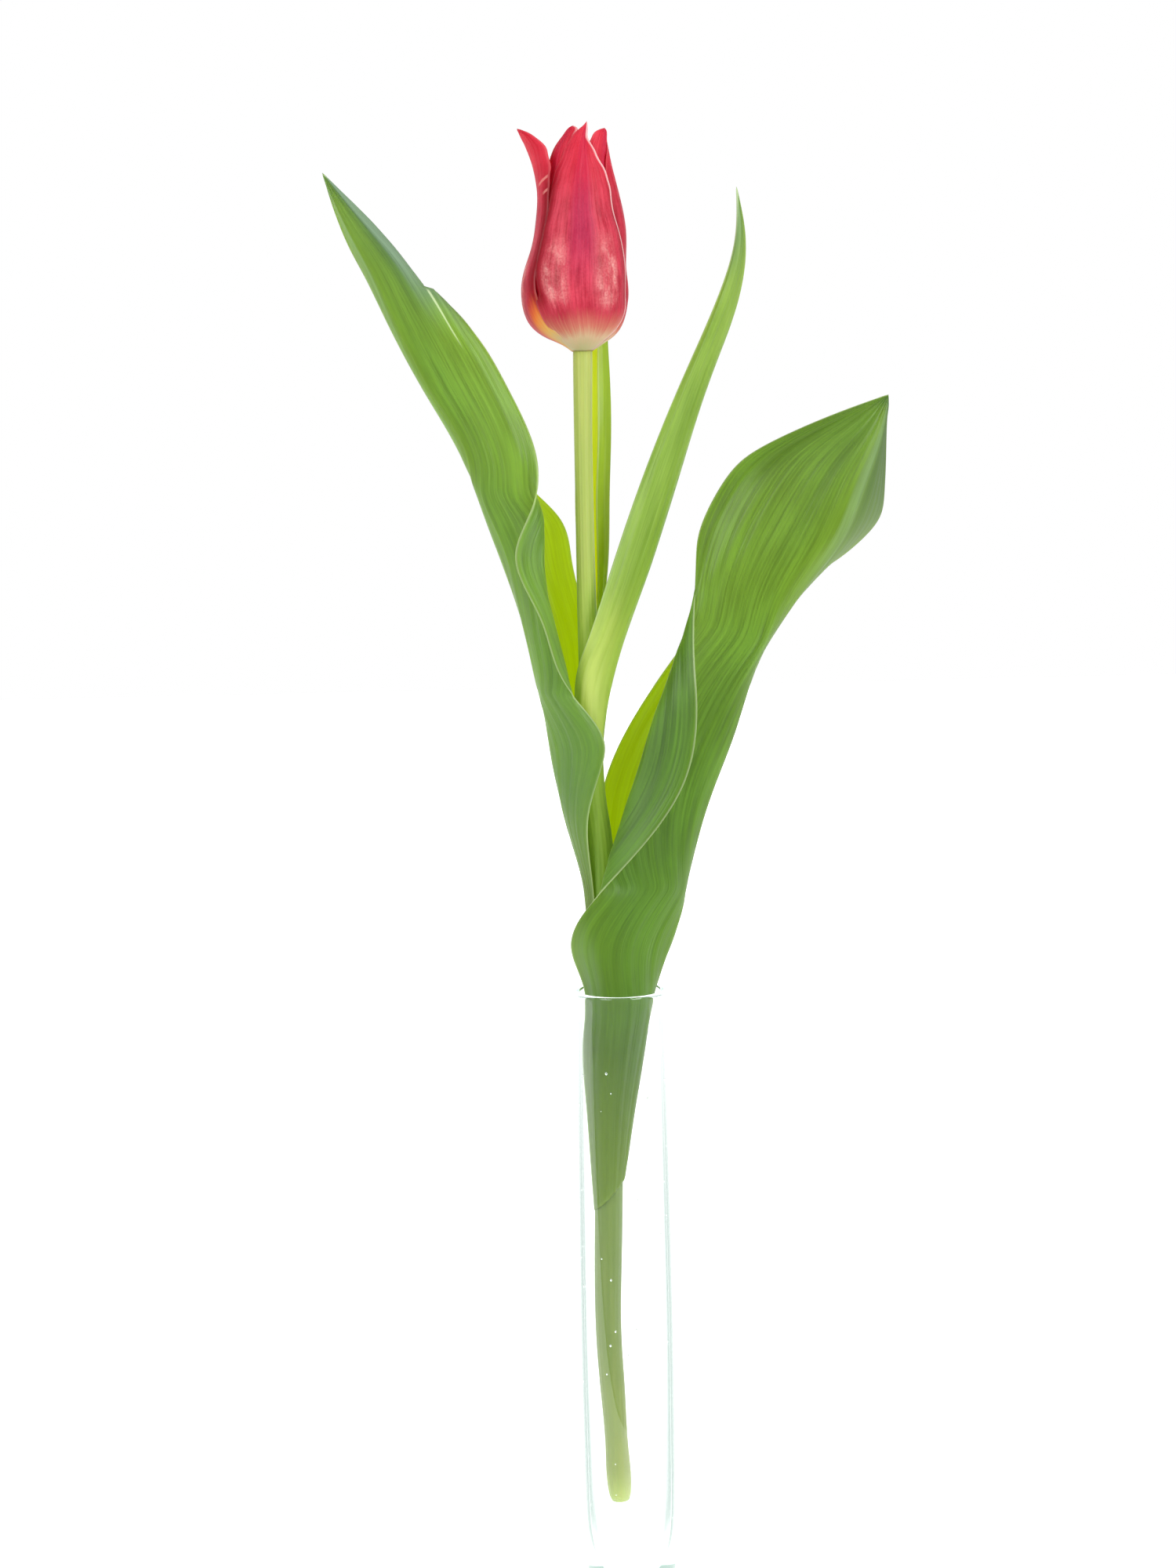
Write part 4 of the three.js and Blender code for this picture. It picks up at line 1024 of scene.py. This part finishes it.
def place_camera():
    """The camera stands where the photograph was taken, tipped down and slightly rolled."""
    lens = bpy.data.cameras.new("camera")
    lens.lens = CAMERA_LENS
    lens.sensor_width = CAMERA_SENSOR
    camera = bpy.data.objects.new("camera", lens)
    tip_down = Matrix.Rotation(math.radians(90 - CAMERA_PITCH), 4, "X")
    roll = Matrix.Rotation(math.radians(-CAMERA_ROLL), 4, "Z")
    camera.matrix_world = Matrix.Translation(CAMERA_PLACE) @ tip_down @ roll
    bpy.context.collection.objects.link(camera)
    bpy.context.scene.camera = camera
    bpy.context.scene.view_settings.view_transform = "Standard"


# The whole

leaf_tones = {
    "leaf_lower_right": blade_finish(
        "broad_leaf_green", paint(46, 86, 30), paint(92, 140, 50),
        foot_colours=[[0, 112, 138, 46], [0.3, 70, 101, 30], [0.5, 84, 122, 37], [1, 84, 130, 38]],
        foot_length=150, veins=15, glow=(0.84, 1, 0, 1), translucence=0.54, sheen=0.08,
        shade_along=(185, 260), shade_across=(0.05, -0.2), keel=(-0.04, 0.005, 205, 0.3), near_wax_and_sheen=0),
    "leaf_left": blade_finish(
        "left_leaf_green", paint(60, 100, 44), paint(108, 156, 64),
        foot_colours=[[0, 120, 144, 72], [0.3, 100, 136, 82], [1, 94, 140, 66]],
        foot_length=150, veins=13, glow=(0.86, 1, 0, 1), translucence=0.58, sheen=0.6,
        shade_along=(200, 232), shade_across=(0.25, 0.5), keel=(-0.15, 0.012, 0, 0.5), near_wax_and_sheen=0.45,
        slit=(0.66, 196, 218)),
    # The young leaves' pale yellow-green foot colours paint the glow of light shining through their feet
    # from behind
    "leaf_upper_right": blade_finish(
        "young_leaf_green", paint(92, 130, 52), paint(146, 178, 84),
        foot_colours=[[0, 214, 226, 128], [0.5, 212, 226, 120], [1, 168, 198, 88]],
        foot_length=80, veins=8, glow=(0.84, 1, 0.08, 1), translucence=0.52, sheen=0.3,
        shade_along=(150, 185), shade_across=(0, 0.25), keel=(-0.14, 0.05, 0, 0.1), near_wax_and_sheen=0.2),
    "leaf_upper_back": blade_finish(
        "young_leaf_shade", paint(96, 148, 44), paint(148, 188, 66),
        foot_colours=[[0, 180, 198, 60], [1, 150, 184, 50]],
        foot_length=40, veins=8, glow=(0.98, 1, 0, 1), translucence=0.64, sheen=0.15,
        shade_along=(140, 160), shade_across=(0, 0.25), keel=(-0.14, 0.05, 0, 0.05), near_wax_and_sheen=0.2),
}
cream_foot = [[0, 222, 228, 172], [0.28, 244, 224, 180], [0.5, 226, 142, 120], [0.8, 196, 52, 76]]
orange_foot = [[0, 232, 226, 176], [0.3, 255, 216, 122], [0.6, 255, 148, 70], [0.9, 226, 58, 64]]
tepal_tones = {
    "tepal_outer_front": tepal_finish("crimson_satin", cream_foot, -2.2, -1.2, rim=0.95, flank_shades=(0.95, 0.5)),
    "tepal_outer_left": tepal_finish(
        "crimson_orange_foot", orange_foot, 8, -15, rim=0.05, flank_shades=(0.75, 0.9),
        scuffs=[(54.8, 0.6), (50.5, 0.78)]),
}
plain_crimson = tepal_finish("crimson", cream_foot, -2.2, -1.2, rim=0.65, flank_shades=(0.3, 0.15))
tube = tube_tree()
stalk = stalk_tree()
stem_green = stem_finish()
pistil_green = floret_finish("pistil_green", paint(168, 184, 96), paint(206, 214, 142), 1500, 0.45)
anther_dark = floret_finish("anther_dark", paint(38, 24, 40), paint(84, 60, 52), 3000, 0.7)

vase = make_vase(tube, glass_finish())
stem = make_stem(stalk, stem_green)
pistil = make_floret(stalk, "three_lobed_pistil", PISTIL_RINGS, 0, 0, pistil_green, PISTIL_SIDES, 3)
pieces = [(vase, "vase", "glass"), (stem, "stem", "stem"), (pistil, "pistil", "pistil")]
for index in range(STAMEN_COUNT):
    name = f"stamen_with_anther_{index + 1}"
    angle = 2 * math.pi * (index + 0.5) / STAMEN_COUNT
    stamen = make_floret(stalk, name, STAMEN_RINGS, STAMEN_FOOT_RADIUS, angle, anther_dark, STAMEN_SIDES, 2)
    pieces.append((stamen, f"stamen_{index + 1}", "stamen"))
for leaf in LEAVES:
    pieces.append((make_leaf(leaf, leaf_tones[leaf["name"]]), leaf["name"], "leaf"))
for tepal in TEPALS:
    pieces.append((make_tepal(tepal, tepal_tones.get(tepal["name"], plain_crimson)), tepal["name"], "tepal"))
for piece, node, slot in pieces:
    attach(piece, "root")
    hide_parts(node)

make_floor()
light_the_stage()
place_camera()
